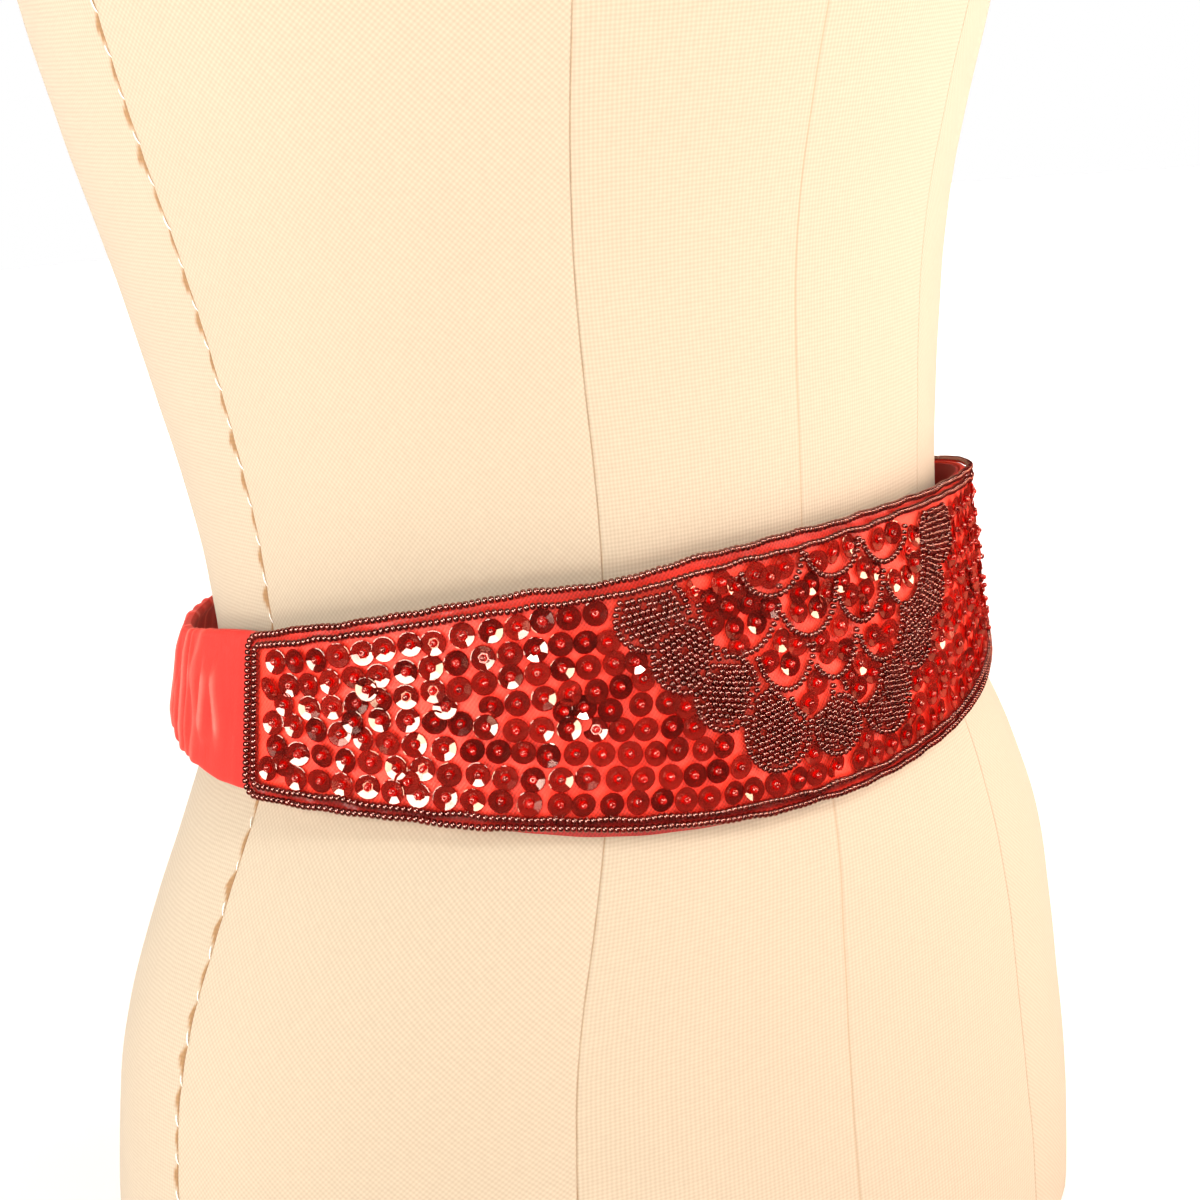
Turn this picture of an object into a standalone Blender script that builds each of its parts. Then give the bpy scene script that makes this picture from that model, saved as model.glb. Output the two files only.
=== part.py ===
"""A beaded cummerbund standing on the waist of a plain dress form.

The cummerbund is one ring: a stiffened satin front panel, shaped deeper at the centre front, edged by
two rows of beads and crossed by a beaded garland, with a lining behind it, and a band of elastic in
gathered crepe that closes the ring round the back. The form is one smooth body with a flat base.

Every cloth piece is worked out in the belt's own coordinates: s runs round the ring in mm from the
centre front, towards the wearer's left, and h is the height in mm above the middle of the belt. Depth
is measured inwards from the panel's face, so what lies on the panel has a negative depth.
"""

import math

import bmesh
import bpy
import numpy as np

MM = 0.001
GAP = 0.3                       # clearance between pieces that touch on the real one

# ---- the dress form ------------------------------------------------------------------------------
WAIST_HEIGHT = 200.0            # base of the form to the middle of the belt
FORM_COLUMNS = 48
FORM_ROWS = 34

# name, height above the waist, half width, depth to the front, depth to the back
FORM_SECTIONS = (
    ("base", -200.0, 154.0, 94.0, 114.0),
    ("seat", -170.0, 156.5, 93.5, 116.0),
    ("hip", -140.0, 155.0, 92.5, 113.0),
    ("high hip", -110.0, 152.3, 92.2, 104.5),
    ("flare", -80.0, 146.7, 92.6, 96.0),
    ("upper flare", -50.0, 133.1, 93.2, 88.5),
    ("belt rest", -25.0, 119.2, 91.0, 84.0),
    ("waist", 0.0, 107.0, 86.2, 83.0),
    ("above waist", 25.0, 105.7, 86.8, 86.4),
    ("low rib", 50.0, 107.0, 88.3, 95.0),
    ("rib", 80.0, 111.4, 89.6, 105.0),
    ("under bust", 110.0, 117.3, 93.0, 111.0),
    ("low bust", 150.0, 127.6, 104.0, 114.0),
    ("bust", 190.0, 136.0, 116.0, 113.0),
    ("upper bust", 230.0, 143.0, 110.0, 109.0),
    ("armhole", 270.0, 150.0, 93.0, 101.0),
    ("shoulder end", 303.0, 152.0, 75.0, 88.0),
    ("shoulder", 328.0, 128.0, 63.0, 76.0),
    ("shoulder by the neck", 346.0, 92.0, 56.0, 67.0),
    ("neck base", 364.0, 64.0, 53.0, 61.0),
    ("neck", 388.0, 54.0, 51.0, 55.0),
    ("neck top", 420.0, 51.0, 50.0, 52.0),
)

# ---- the belt's ring -----------------------------------------------------------------------------
RING_HALF_WIDTH = 119.0
RING_FRONT_DEPTH = 93.8
RING_BACK_DEPTH = 96.5
FLARE_FRONT = 0.054             # growth of the ring per 100 mm downwards, on the panel
FLARE_BAND = 0.18               # the same on the elastic band, which spreads over the hips
FLARE_START, FLARE_END = math.radians(50.0), math.radians(95.0)
TILT_ACROSS = -0.006            # rise per mm towards the wearer's left
TILT_DEEP = -0.0344             # rise per mm towards the back: the ring sits lower behind

# ---- the front panel -----------------------------------------------------------------------------
PANEL_HALF_LENGTH = 154.3       # centre front to the end by the side seam, along the ring
PANEL_TOP = (33.6, -8.7, -1.7)  # top edge's height at the centre, and its square and fourth-power terms
PANEL_BOTTOM = (-34.9, 33.4, -14.6)
DIP_MIDDLE = -56.0              # the stiffening has sunk a little here, and the top edge with it
DIP_REACH = 22.0
DIP_DEPTH = 1.3
PANEL_CORNER = 5.0
PANEL_WALL = 1.5
PANEL_COLUMNS = 72
PANEL_ROWS = 6

# ---- the lining ----------------------------------------------------------------------------------
LINING_WALL = 1.0
LINING_SHORT = 8.0              # stops short of the panel's ends, where the band is sewn in
LINING_PEEP = 0.8               # shows this far under the panel's edge at the centre front

# ---- the elastic band ----------------------------------------------------------------------------
BAND_WALL = 1.8
BAND_TUCK = 5.0                 # length sewn in between panel and lining
BAND_DEPTH = 0.9                # depth of its face where it runs free
BAND_RISE = 7.0                 # length over which it comes out from under the panel
BAND_PLAIN = 9.0                # smooth stretch beside each end of the panel
BAND_MARGIN = 0.6               # narrower than the panel's end at top and bottom
BAND_TAPER = 65.0               # length over which it narrows to the elastic's own width
BAND_TOP_DROP = 6.5
BAND_BOTTOM_RISE = 6.0
GATHERS = 54
GATHER_HEIGHT = 0.75            # crest above the mean face
GATHER_EDGE = 0.6               # waver of the two long edges
POINTS_PER_GATHER = 6

# ---- the beadwork --------------------------------------------------------------------------------
BEAD_WIDTH = 2.0
BEAD_HEIGHT = 1.7
EDGE_ROW_INSET = 1.1            # centre of the outer row from the panel's edge
INNER_ROW_INSET_TOP = 4.7
INNER_ROW_INSET_BELOW = 3.5
ROW_POINTS_LONG = 56            # along each long edge
ROW_POINTS_CORNER = 3
ROW_POINTS_END = 6
GARLAND_HEIGHT = 1.5
GARLAND_COLUMNS = 72
GARLAND_BEVEL = 0.7

# lobes of the garland on the wearer's left; those off the centre are mirrored to the right
# name, s of the middle, h of the middle, half length, half height
GARLAND_LOBES = (
    ("centre", 0.0, -17.0, 8.5, 8.3),
    ("first", 18.5, -13.5, 10.5, 11.3),
    ("second", 32.0, -1.5, 9.3, 10.0),
    ("third", 42.0, 9.5, 9.3, 9.7),
    ("top", 50.0, 20.0, 9.5, 8.6),
)


# ---- shared working ------------------------------------------------------------------------------
def smoothstep(value):
    value = min(max(value, 0.0), 1.0)
    return value * value * (3.0 - 2.0 * value)


def between(start, end, share):
    return start + (end - start) * share


def ring_depth(angle):
    return RING_FRONT_DEPTH if math.cos(angle) > 0.0 else RING_BACK_DEPTH


def ring_length_table(steps=1440):
    """Angles round the ring from the centre front, and the length of ring up to each of them."""
    angles = np.linspace(0.0, 2.0 * math.pi, steps + 1)
    x = RING_HALF_WIDTH * np.sin(angles)
    y = np.array([-ring_depth(angle) * math.cos(angle) for angle in angles])
    lengths = np.concatenate(([0.0], np.cumsum(np.hypot(np.diff(x), np.diff(y)))))
    return angles, lengths


RING_ANGLES, RING_LENGTHS = ring_length_table()
RING_LENGTH = float(RING_LENGTHS[-1])


def belt_point(s, h, depth=0.0):
    """The point at s round the ring, h above the belt's middle and depth inwards, in mm."""
    angle = float(np.interp(s % RING_LENGTH, RING_LENGTHS, RING_ANGLES))
    from_front = min(angle, 2.0 * math.pi - angle)
    share = smoothstep((from_front - FLARE_START) / (FLARE_END - FLARE_START))
    flare = between(FLARE_FRONT, FLARE_BAND, share)
    growth = 1.0 - flare * h / 100.0
    deep = ring_depth(angle)
    out_x = math.sin(angle) / RING_HALF_WIDTH
    out_y = -math.cos(angle) / deep
    size = math.hypot(out_x, out_y)
    x = RING_HALF_WIDTH * math.sin(angle) * growth - depth * out_x / size
    y = -deep * math.cos(angle) * growth - depth * out_y / size
    return (x, y, WAIST_HEIGHT + h + TILT_ACROSS * x + TILT_DEEP * y)


def panel_bottom(s):
    share = s / PANEL_HALF_LENGTH
    return PANEL_BOTTOM[0] + PANEL_BOTTOM[1] * share ** 2 + PANEL_BOTTOM[2] * share ** 4


def panel_top(s):
    share = s / PANEL_HALF_LENGTH
    dip = DIP_DEPTH * smoothstep(1.0 - abs(s - DIP_MIDDLE) / DIP_REACH)
    return PANEL_TOP[0] + PANEL_TOP[1] * share ** 2 + PANEL_TOP[2] * share ** 4 - dip


def panel_edges(s):
    """Lower and upper height of the panel at s, with its corners rounded."""
    into = max(abs(s) - (PANEL_HALF_LENGTH - PANEL_CORNER), 0.0)
    cut = PANEL_CORNER - math.sqrt(max(PANEL_CORNER ** 2 - into ** 2, 0.0))
    return panel_bottom(s) + cut, panel_top(s) - cut


def panel_stations():
    """Columns from end to end, evenly spaced but for three that round each corner."""
    inner = PANEL_HALF_LENGTH - PANEL_CORNER
    middle = [between(-inner, inner, i / PANEL_COLUMNS) for i in range(PANEL_COLUMNS + 1)]
    corner = [inner + PANEL_CORNER * math.sin(math.radians(step)) for step in (30.0, 60.0, 90.0)]
    return [-s for s in reversed(corner)] + middle + corner


def make_material(name, colour, roughness, metallic=0.0):
    material = bpy.data.materials.new(name)
    material.use_nodes = True
    shader = material.node_tree.nodes["Principled BSDF"]
    shader.inputs["Base Color"].default_value = (*colour, 1.0)
    shader.inputs["Roughness"].default_value = roughness
    shader.inputs["Metallic"].default_value = metallic
    material.diffuse_color = (*colour, 1.0)
    return material


def add_object(name, builder, material):
    """One closed body: its normals are turned outwards and its curved faces shaded smooth."""
    bmesh.ops.recalc_face_normals(builder, faces=builder.faces)
    mesh = bpy.data.meshes.new(name)
    builder.to_mesh(mesh)
    builder.free()
    mesh.shade_smooth()
    mesh.set_sharp_from_angle(angle=math.radians(40.0))
    mesh.materials.append(material)
    piece = bpy.data.objects.new(name, mesh)
    bpy.context.scene.collection.objects.link(piece)
    return piece


def add_points(builder, points):
    return [builder.verts.new([value * MM for value in point]) for point in points]


def bridge(builder, first, second, closed=False):
    """Quads between two rows of the same length."""
    count = len(first)
    for i in range(count if closed else count - 1):
        k = (i + 1) % count
        builder.faces.new((first[i], first[k], second[k], second[i]))


def add_wall(name, outer, inner, material):
    """A wall between two grids of points, whose columns run from the lower edge to the upper one."""
    builder = bmesh.new()
    faces = [[add_points(builder, column) for column in grid] for grid in (outer, inner)]
    for grid in faces:
        for first, second in zip(grid, grid[1:]):
            bridge(builder, first, second)
    outside, inside = faces
    for row in (0, -1):
        bridge(builder, [column[row] for column in outside], [column[row] for column in inside])
    for end in (0, -1):
        bridge(builder, outside[end], inside[end])
    return add_object(name, builder, material)


# ---- the pieces ----------------------------------------------------------------------------------
def form_section(position):
    """Height, half width and the two depths at a fractional row of the table, on a smooth curve."""
    row = min(int(position), len(FORM_SECTIONS) - 2)
    share = position - row
    last = len(FORM_SECTIONS) - 1
    around = [FORM_SECTIONS[min(max(row + k, 0), last)][1:] for k in (-1, 0, 1, 2)]
    weights = (
        -0.5 * share + share ** 2 - 0.5 * share ** 3,
        1.0 - 2.5 * share ** 2 + 1.5 * share ** 3,
        0.5 * share + 2.0 * share ** 2 - 1.5 * share ** 3,
        -0.5 * share ** 2 + 0.5 * share ** 3,
    )
    return [sum(w * values[k] for w, values in zip(weights, around)) for k in range(4)]


def add_dress_form(material):
    builder = bmesh.new()
    rings = []
    for i in range(FORM_ROWS + 1):
        height, half_width, front, back = form_section(i * (len(FORM_SECTIONS) - 1) / FORM_ROWS)
        points = []
        for k in range(FORM_COLUMNS):
            angle = 2.0 * math.pi * k / FORM_COLUMNS
            deep = front if math.cos(angle) > 0.0 else back
            points.append((half_width * math.sin(angle), -deep * math.cos(angle), WAIST_HEIGHT + height))
        rings.append(add_points(builder, points))
    for first, second in zip(rings, rings[1:]):
        bridge(builder, first, second, closed=True)
    builder.faces.new(rings[0])
    builder.faces.new(rings[-1])
    return add_object("dress_form", builder, material)


def sheet_columns(stations, edges, depth, rows):
    """Grid of points for a layer of the belt: edges(s) gives its lower and upper height at s."""
    grid = []
    for s in stations:
        low, high = edges(s)
        grid.append([belt_point(s, between(low, high, j / rows), depth) for j in range(rows + 1)])
    return grid


def add_front_panel(material):
    stations = panel_stations()
    outer = sheet_columns(stations, panel_edges, 0.0, PANEL_ROWS)
    inner = sheet_columns(stations, panel_edges, PANEL_WALL, PANEL_ROWS)
    return add_wall("front_panel", outer, inner, material)


def lining_edges(s):
    low, high = panel_edges(s)
    share = 1.0 - (s / PANEL_HALF_LENGTH) ** 2
    return low - LINING_PEEP * share, high - GAP


def add_panel_lining(material):
    half_length = PANEL_HALF_LENGTH - LINING_SHORT
    stations = [between(-half_length, half_length, i / PANEL_COLUMNS) for i in range(PANEL_COLUMNS + 1)]
    depth = PANEL_WALL + GAP
    outer = sheet_columns(stations, lining_edges, depth, PANEL_ROWS)
    inner = sheet_columns(stations, lining_edges, depth + LINING_WALL, PANEL_ROWS)
    return add_wall("panel_lining", outer, inner, material)


def band_column(s, depth):
    """Lower, middle and upper point of the band at s, measured on round the back of the ring."""
    start = PANEL_HALF_LENGTH
    length = RING_LENGTH - 2.0 * start
    along = min(s - start, start + length - s)
    taper = smoothstep(along / BAND_TAPER)
    low = panel_bottom(start) + BAND_MARGIN + BAND_BOTTOM_RISE * taper
    high = panel_top(start) - BAND_MARGIN - BAND_TOP_DROP * taper
    out = smoothstep(along / BAND_RISE)
    depth += between(PANEL_WALL + GAP, BAND_DEPTH, out)
    gathered = smoothstep((along - BAND_PLAIN) / BAND_PLAIN)
    phase = 2.0 * math.pi * GATHERS * (s - start - BAND_PLAIN) / (length - 2.0 * BAND_PLAIN)
    depth -= GATHER_HEIGHT * gathered * math.sin(phase)
    waver = GATHER_EDGE * gathered * math.sin(phase)
    return [
        belt_point(s, low - waver, depth),
        belt_point(s, 0.5 * (low + high), depth),
        belt_point(s, high + waver, depth),
    ]


def add_back_band(material):
    start = PANEL_HALF_LENGTH
    length = RING_LENGTH - 2.0 * start
    plain = [start - BAND_TUCK, start - 0.3 * BAND_TUCK]
    plain += [start + BAND_PLAIN * share for share in (0.12, 0.4, 0.68)]
    count = GATHERS * POINTS_PER_GATHER
    first, last = start + BAND_PLAIN, start + length - BAND_PLAIN
    gathered = [between(first, last, i / count) for i in range(count + 1)]
    stations = plain + gathered + [2.0 * start + length - s for s in reversed(plain)]
    outer = [band_column(s, 0.0) for s in stations]
    inner = [band_column(s, BAND_WALL) for s in stations]
    return add_wall("back_band", outer, inner, material)


def outline_route():
    """Points round the panel's edge with their inward directions, as (s, h, in_s, in_h)."""
    straight = PANEL_HALF_LENGTH - PANEL_CORNER
    route = []
    low, high = panel_bottom(straight), panel_top(straight)
    for edge, side in ((panel_bottom, -1.0), (panel_top, 1.0)):
        for i in range(ROW_POINTS_LONG + 1):
            s = -side * between(-straight, straight, i / ROW_POINTS_LONG)
            slope = (edge(s + 1.0) - edge(s - 1.0)) / 2.0
            size = math.hypot(1.0, slope)
            route.append((s, edge(s), side * slope / size, -side / size))
        end_side = -side
        centres = (low + PANEL_CORNER, high - PANEL_CORNER)
        near, far = centres if side < 0.0 else reversed(centres)
        turn_in = [math.radians(90.0 * (i + 0.5) / ROW_POINTS_CORNER) for i in range(ROW_POINTS_CORNER)]
        for turn in turn_in:
            out_s, out_h = end_side * math.sin(turn), side * math.cos(turn)
            route.append((end_side * straight + PANEL_CORNER * out_s, near + PANEL_CORNER * out_h,
                          -out_s, -out_h))
        for i in range(ROW_POINTS_END):
            h = between(near, far, i / (ROW_POINTS_END - 1))
            route.append((end_side * PANEL_HALF_LENGTH, h, -end_side, 0.0))
        for turn in reversed(turn_in):
            out_s, out_h = end_side * math.sin(turn), -side * math.cos(turn)
            route.append((end_side * straight + PANEL_CORNER * out_s, far + PANEL_CORNER * out_h,
                          -out_s, -out_h))
    return route


def add_bead_row(name, inset_top, inset_below, material):
    """A rounded ridge that follows the panel's edge, one bead wide."""
    half = BEAD_WIDTH / 2.0
    top = -GAP - BEAD_HEIGHT
    profile = ((-half, -GAP), (-0.6 * half, top), (0.6 * half, top), (half, -GAP))
    builder = bmesh.new()
    rings = []
    for s, h, in_s, in_h in outline_route():
        inset = between(inset_below, inset_top, smoothstep(h / 10.0 + 0.5))
        points = [belt_point(s + in_s * (inset + across), h + in_h * (inset + across), depth)
                  for across, depth in profile]
        rings.append(add_points(builder, points))
    for first, second in zip(rings, rings[1:] + rings[:1]):
        bridge(builder, first, second, closed=True)
    return add_object(name, builder, material)


def garland_lobes():
    lobes = [row[1:] for row in GARLAND_LOBES]
    return lobes + [(-s, h, half_s, half_h) for s, h, half_s, half_h in lobes if s > 0.0]


def garland_edges(s):
    """Lower and upper height of the garland at s: all its lobes together, under the inner row."""
    lows, highs = [], []
    for middle_s, middle_h, half_s, half_h in garland_lobes():
        across = (s - middle_s) / half_s
        if abs(across) < 1.0:
            rise = half_h * math.sqrt(1.0 - across * across)
            lows.append(middle_h - rise)
            highs.append(middle_h + rise)
    ceiling = panel_edges(s)[1] - INNER_ROW_INSET_TOP - BEAD_WIDTH / 2.0 - GAP
    return min(lows), min(max(highs), ceiling)


def add_beaded_garland(material):
    """One raised plate, bevelled along both edges, that stands for the closely beaded lobes."""
    reach = max(s + half_s for s, h, half_s, half_h in garland_lobes()) - 0.4
    outer, inner = [], []
    for i in range(GARLAND_COLUMNS + 1):
        s = between(-reach, reach, i / GARLAND_COLUMNS)
        low, high = garland_edges(s)
        bevel = min(GARLAND_BEVEL, 0.3 * (high - low))
        heights = (low, low + bevel, high - bevel, high)
        top = -GAP - GARLAND_HEIGHT
        side = -GAP - 0.4 * GARLAND_HEIGHT
        outer.append([belt_point(s, h, depth) for h, depth in zip(heights, (side, top, top, side))])
        inner.append([belt_point(s, h, -GAP) for h in heights])
    return add_wall("beaded_garland", outer, inner, material)


def clear_scene():
    for leftover in list(bpy.data.objects):
        bpy.data.objects.remove(leftover, do_unlink=True)


def main():
    clear_scene()
    linen = make_material("cream_linen", (0.89, 0.77, 0.60), 0.9)
    satin = make_material("red_satin", (0.62, 0.03, 0.03), 0.4)
    lining = make_material("red_lining", (0.55, 0.03, 0.03), 0.6)
    crepe = make_material("red_crepe", (0.70, 0.06, 0.05), 0.8)
    beads = make_material("oxblood_glass_beads", (0.12, 0.01, 0.012), 0.12)
    add_dress_form(linen)
    add_front_panel(satin)
    add_panel_lining(lining)
    add_back_band(crepe)
    add_bead_row("edge_bead_row", EDGE_ROW_INSET, EDGE_ROW_INSET, beads)
    add_bead_row("inner_bead_row", INNER_ROW_INSET_TOP, INNER_ROW_INSET_BELOW, beads)
    add_beaded_garland(beads)


main()
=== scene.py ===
"""The looks of a beaded satin cummerbund and of the linen dress form that it rests on.

Cloth is built as thin shells in the belt's own coordinates: s runs round the ring in mm from the centre
front, towards the wearer's left, h is the height in mm above the middle of the belt, and depth is
measured inwards from the panel's face. Beads, sequins and stitches are set on that surface one by one.
"""
import functools
import math
import random

import bmesh
import bpy
import numpy as np
from bpy.props import FloatProperty, FloatVectorProperty, IntProperty, PointerProperty
from mathutils import Matrix, Vector


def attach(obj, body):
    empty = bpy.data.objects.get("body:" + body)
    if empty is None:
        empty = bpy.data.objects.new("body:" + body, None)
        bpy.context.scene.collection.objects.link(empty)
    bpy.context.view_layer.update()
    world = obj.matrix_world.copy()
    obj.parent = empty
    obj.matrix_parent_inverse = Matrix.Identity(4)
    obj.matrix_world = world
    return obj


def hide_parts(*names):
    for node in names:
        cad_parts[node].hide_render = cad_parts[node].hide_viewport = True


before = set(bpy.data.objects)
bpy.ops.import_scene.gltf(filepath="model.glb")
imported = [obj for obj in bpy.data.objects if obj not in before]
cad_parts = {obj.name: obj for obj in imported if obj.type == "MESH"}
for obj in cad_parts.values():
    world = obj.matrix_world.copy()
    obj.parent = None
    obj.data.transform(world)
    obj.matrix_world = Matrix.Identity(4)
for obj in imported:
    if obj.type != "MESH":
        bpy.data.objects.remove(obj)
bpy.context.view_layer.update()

bl_info = {
    "name": "Beaded cummerbund",
    "version": (1, 0, 0),
    "blender": (4, 5, 0),
    "location": "View3D > Sidebar > Cummerbund",
    "description": "Builds a sequinned and beaded satin cummerbund on a linen dress form",
    "category": "Add Mesh",
}

MM = 0.001
BODY = "root"

# ---- the belt's ring, as its solids have it, in mm ----
WAIST_HEIGHT = 200.0
RING_HALF_WIDTH = 119.0
RING_FRONT_DEPTH = 93.8
RING_BACK_DEPTH = 96.5
FLARE_FRONT = 0.054             # growth of the ring per 100 mm downwards, on the panel
FLARE_BAND = 0.18               # the same on the elastic band
FLARE_START, FLARE_END = math.radians(50.0), math.radians(95.0)
TILT_ACROSS = -0.006
TILT_DEEP = -0.0344

PANEL_HALF_LENGTH = 154.3
PANEL_TOP = (33.6, -8.7, -1.7)
PANEL_BOTTOM = (-34.9, 33.4, -14.6)
DIP_MIDDLE, DIP_REACH, DIP_DEPTH = -56.0, 22.0, 1.3
PANEL_CORNER = 5.0
PANEL_WALL = 1.5
PANEL_STRAIGHT = PANEL_HALF_LENGTH - PANEL_CORNER
GAP = 0.3

LINING_WALL = 1.0
LINING_SHORT = 8.0
LINING_PEEP = 0.8

BAND_WALL = 1.8
BAND_TUCK = 5.0
BAND_DEPTH = 0.9
BAND_RISE = 7.0
BAND_PLAIN = 9.0
BAND_MARGIN = 0.6
BAND_TAPER = 65.0
BAND_TOP_DROP = 6.5
BAND_BOTTOM_RISE = 6.0
BAND_HALF_DEPTH = 14.0          # half its mean depth

# ---- the beadwork ----
EDGE_ROW_INSET = 0.75
INNER_ROW_INSET = 3.3
INNER_ROW_INSET_TOP = 4.2       # wider at the top of the centre front, where satin shows between the rows
BEAD_REST = 1.15                # height of a bead's middle above the satin

# lobes of the closely beaded garland; those off the centre are mirrored to the other side:
# s and h of the middle, half length, half height, and the way its strings run, in degrees from straight down
GARLAND_LOBES = (
    (0.0, -17.0, 8.5, 8.3, 0.0),
    (18.5, -13.5, 10.5, 11.3, 16.0),
    (32.0, -1.5, 9.3, 10.0, 42.0),
    (42.0, 9.5, 9.3, 9.7, 62.0),
    (49.4, 20.6, 10.2, 9.2, 84.0),
)

# cells of the fish-scale net above the garland, each one string that hangs in a U:
# s of the middle, h of its two ends, half width, how far it hangs
NET_CELLS = (
    (-16.0, 28.6, 9.4, 9.4), (4.0, 29.4, 9.8, 9.4), (24.0, 28.4, 9.6, 9.2),
    (-26.0, 22.0, 11.6, 15.0), (-5.8, 19.2, 9.4, 12.0), (12.6, 19.4, 9.2, 12.8), (31.0, 19.0, 9.6, 12.4),
    (-14.2, 7.2, 8.6, 11.6), (0.9, 7.4, 8.4, 12.4), (18.8, 6.8, 9.0, 11.8),
    (-7.4, -4.6, 7.0, 8.6), (10.2, -4.8, 7.2, 9.4),
)

# ---- the form's seams ----
# angle from the centre front at the waist, in radians, its growth per 100 mm upwards, and its kind
FORM_SEAMS = (
    (0.0, 0.0, "faint"),
    (0.537, -0.016, "closed"),
    (1.465, 0.0, "lapped"),
    (2.60, 0.016, "closed"),
    (math.pi, 0.0, "closed"),
)
STITCH_PITCH = 9.8
STITCH_LENGTH = 3.4
STITCH_MARGIN = 12.0            # the form's base and neck have no stitch this near
FORM_RADIUS = 112.0             # nominal radius that turns mm across the cloth into an angle
FRONT_REACH = 1.6               # a front gore's middle lies within this angle of the centre front
SEAM_COLUMNS = (0.0, 0.14, 0.34, 0.7, 1.2, 1.9, 2.7, 3.6, 5.0)    # grid columns beside a seam, in mm from it
PLAIN_COLUMNS = 9                                       # grid columns across the rest of each gore
COVER_ROWS = 400
COVER_INSET = 0.15
BIAS = np.array(((1.0, 1.0), (-1.0, 1.0))) / math.sqrt(2.0)


# ---- sizes and colours a user may change ----
def linear(code):
    """Linear red, green and blue of an sRGB hex colour."""
    channels = [int(code[i:i + 2], 16) / 255.0 for i in (1, 3, 5)]
    return tuple(c / 12.92 if c <= 0.04045 else ((c + 0.055) / 1.055) ** 2.4 for c in channels)


def length(name, description, default):
    return FloatProperty(name=name, description=description, default=default, min=0.0,
                         unit="LENGTH", precision=5)


def angle(name, description, degrees):
    return FloatProperty(name=name, description=description, default=math.radians(degrees),
                         unit="ROTATION")


def colour(name, description, code):
    return FloatVectorProperty(name=name, description=description, default=linear(code),
                               subtype="COLOR", size=3, min=0.0, max=1.0)


class BeadSettings(bpy.types.PropertyGroup):
    width: length("Bead width", "Outer diameter of a seed bead", 0.00192)
    long: length("Bead length", "Length of a seed bead along its string", 0.0013)
    hole: length("Hole", "Diameter of the hole for the thread", 0.00034)
    pitch: length("Pitch", "Distance between beads along a string", 0.0015)
    row_pitch: length("Row pitch", "Distance between the garland's strings", 0.00168)
    glass: colour("Glass", "Colour of the glass", "#4E0C0A")
    # the beads that hold the sequins are given lighter glass than the rest: painted light, for the light that
    # the satin and the sequin's clear middle send into them
    stop_glass: colour("Stop glass", "Colour of the beads that hold the sequins", "#A01412")
    motif_size: FloatProperty(name="Motif size", default=0.92,
                              description="Size of the garland's and net's beads against the border's")
    seed: IntProperty(name="Seed", description="Sets how the beads sit unevenly", default=11)


class SequinSettings(bpy.types.PropertyGroup):
    width: length("Sequin width", "Outer diameter of a cupped sequin", 0.0062)
    cup: length("Cup height", "Height of the rim above the flat middle", 0.00042)
    pitch: length("Pitch", "Distance between sequins in a row", 0.0062)
    row: length("Row distance", "Distance between rows", 0.0060)
    tilt: angle("Tilt", "How far the sequins lean out of true", 7.0)
    film: colour("Film", "Colour of the film where light falls on it", "#8A1E15")
    seed: IntProperty(name="Seed", description="Sets how the sequins lie unevenly", default=5)


class ClothSettings(bpy.types.PropertyGroup):
    satin: colour("Satin", "Colour of the panel's satin", "#E03C2A")
    lining: colour("Lining", "Colour of the lining", "#98201A")
    crepe: colour("Crepe", "Colour of the band's crepe", "#C42C22")
    linen: colour("Linen", "Colour of the form's linen", "#A99D89")
    pucker: length("Pucker", "Height of the soft puckers in the satin", 0.00022)
    gather: length("Gather", "Height of the band's gathers", 0.0015)
    seed: IntProperty(name="Seed", description="Sets the gathers and puckers", default=3)


class StudioSettings(bpy.types.PropertyGroup):
    azimuth: angle("Azimuth", "Camera's turn round the form, from the front", -38.302)
    elevation: angle("Elevation", "Camera's height over the belt, as an angle", 14.569)
    roll: angle("Roll", "Camera's turn about its own axis", 5.072)
    distance: length("Distance", "Camera to the middle of the belt", 0.659209)
    across: length("Across", "Camera's shift to its own right", 0.00304)
    up: length("Up", "Camera's shift upwards", 0.00384)
    lens: FloatProperty(name="Lens", description="Focal length in mm on a 36 mm sensor", default=71.75)
    floor: colour("Floor", "Colour of the studio floor", "#FBF3F0")


SETTINGS = {
    "cummerbund_beads": BeadSettings,
    "cummerbund_sequins": SequinSettings,
    "cummerbund_cloth": ClothSettings,
    "cummerbund_studio": StudioSettings,
}


# ---- the belt's surface ----
def smoothstep(value):
    value = np.clip(value, 0.0, 1.0)
    return value * value * (3.0 - 2.0 * value)


def ring_length_table(steps=1440):
    angles = np.linspace(0.0, 2.0 * math.pi, steps + 1)
    deep = np.where(np.cos(angles) > 0.0, RING_FRONT_DEPTH, RING_BACK_DEPTH)
    x, y = RING_HALF_WIDTH * np.sin(angles), -deep * np.cos(angles)
    return angles, np.concatenate(([0.0], np.cumsum(np.hypot(np.diff(x), np.diff(y)))))


RING_ANGLES, RING_LENGTHS = ring_length_table()
RING_LENGTH = float(RING_LENGTHS[-1])


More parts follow.
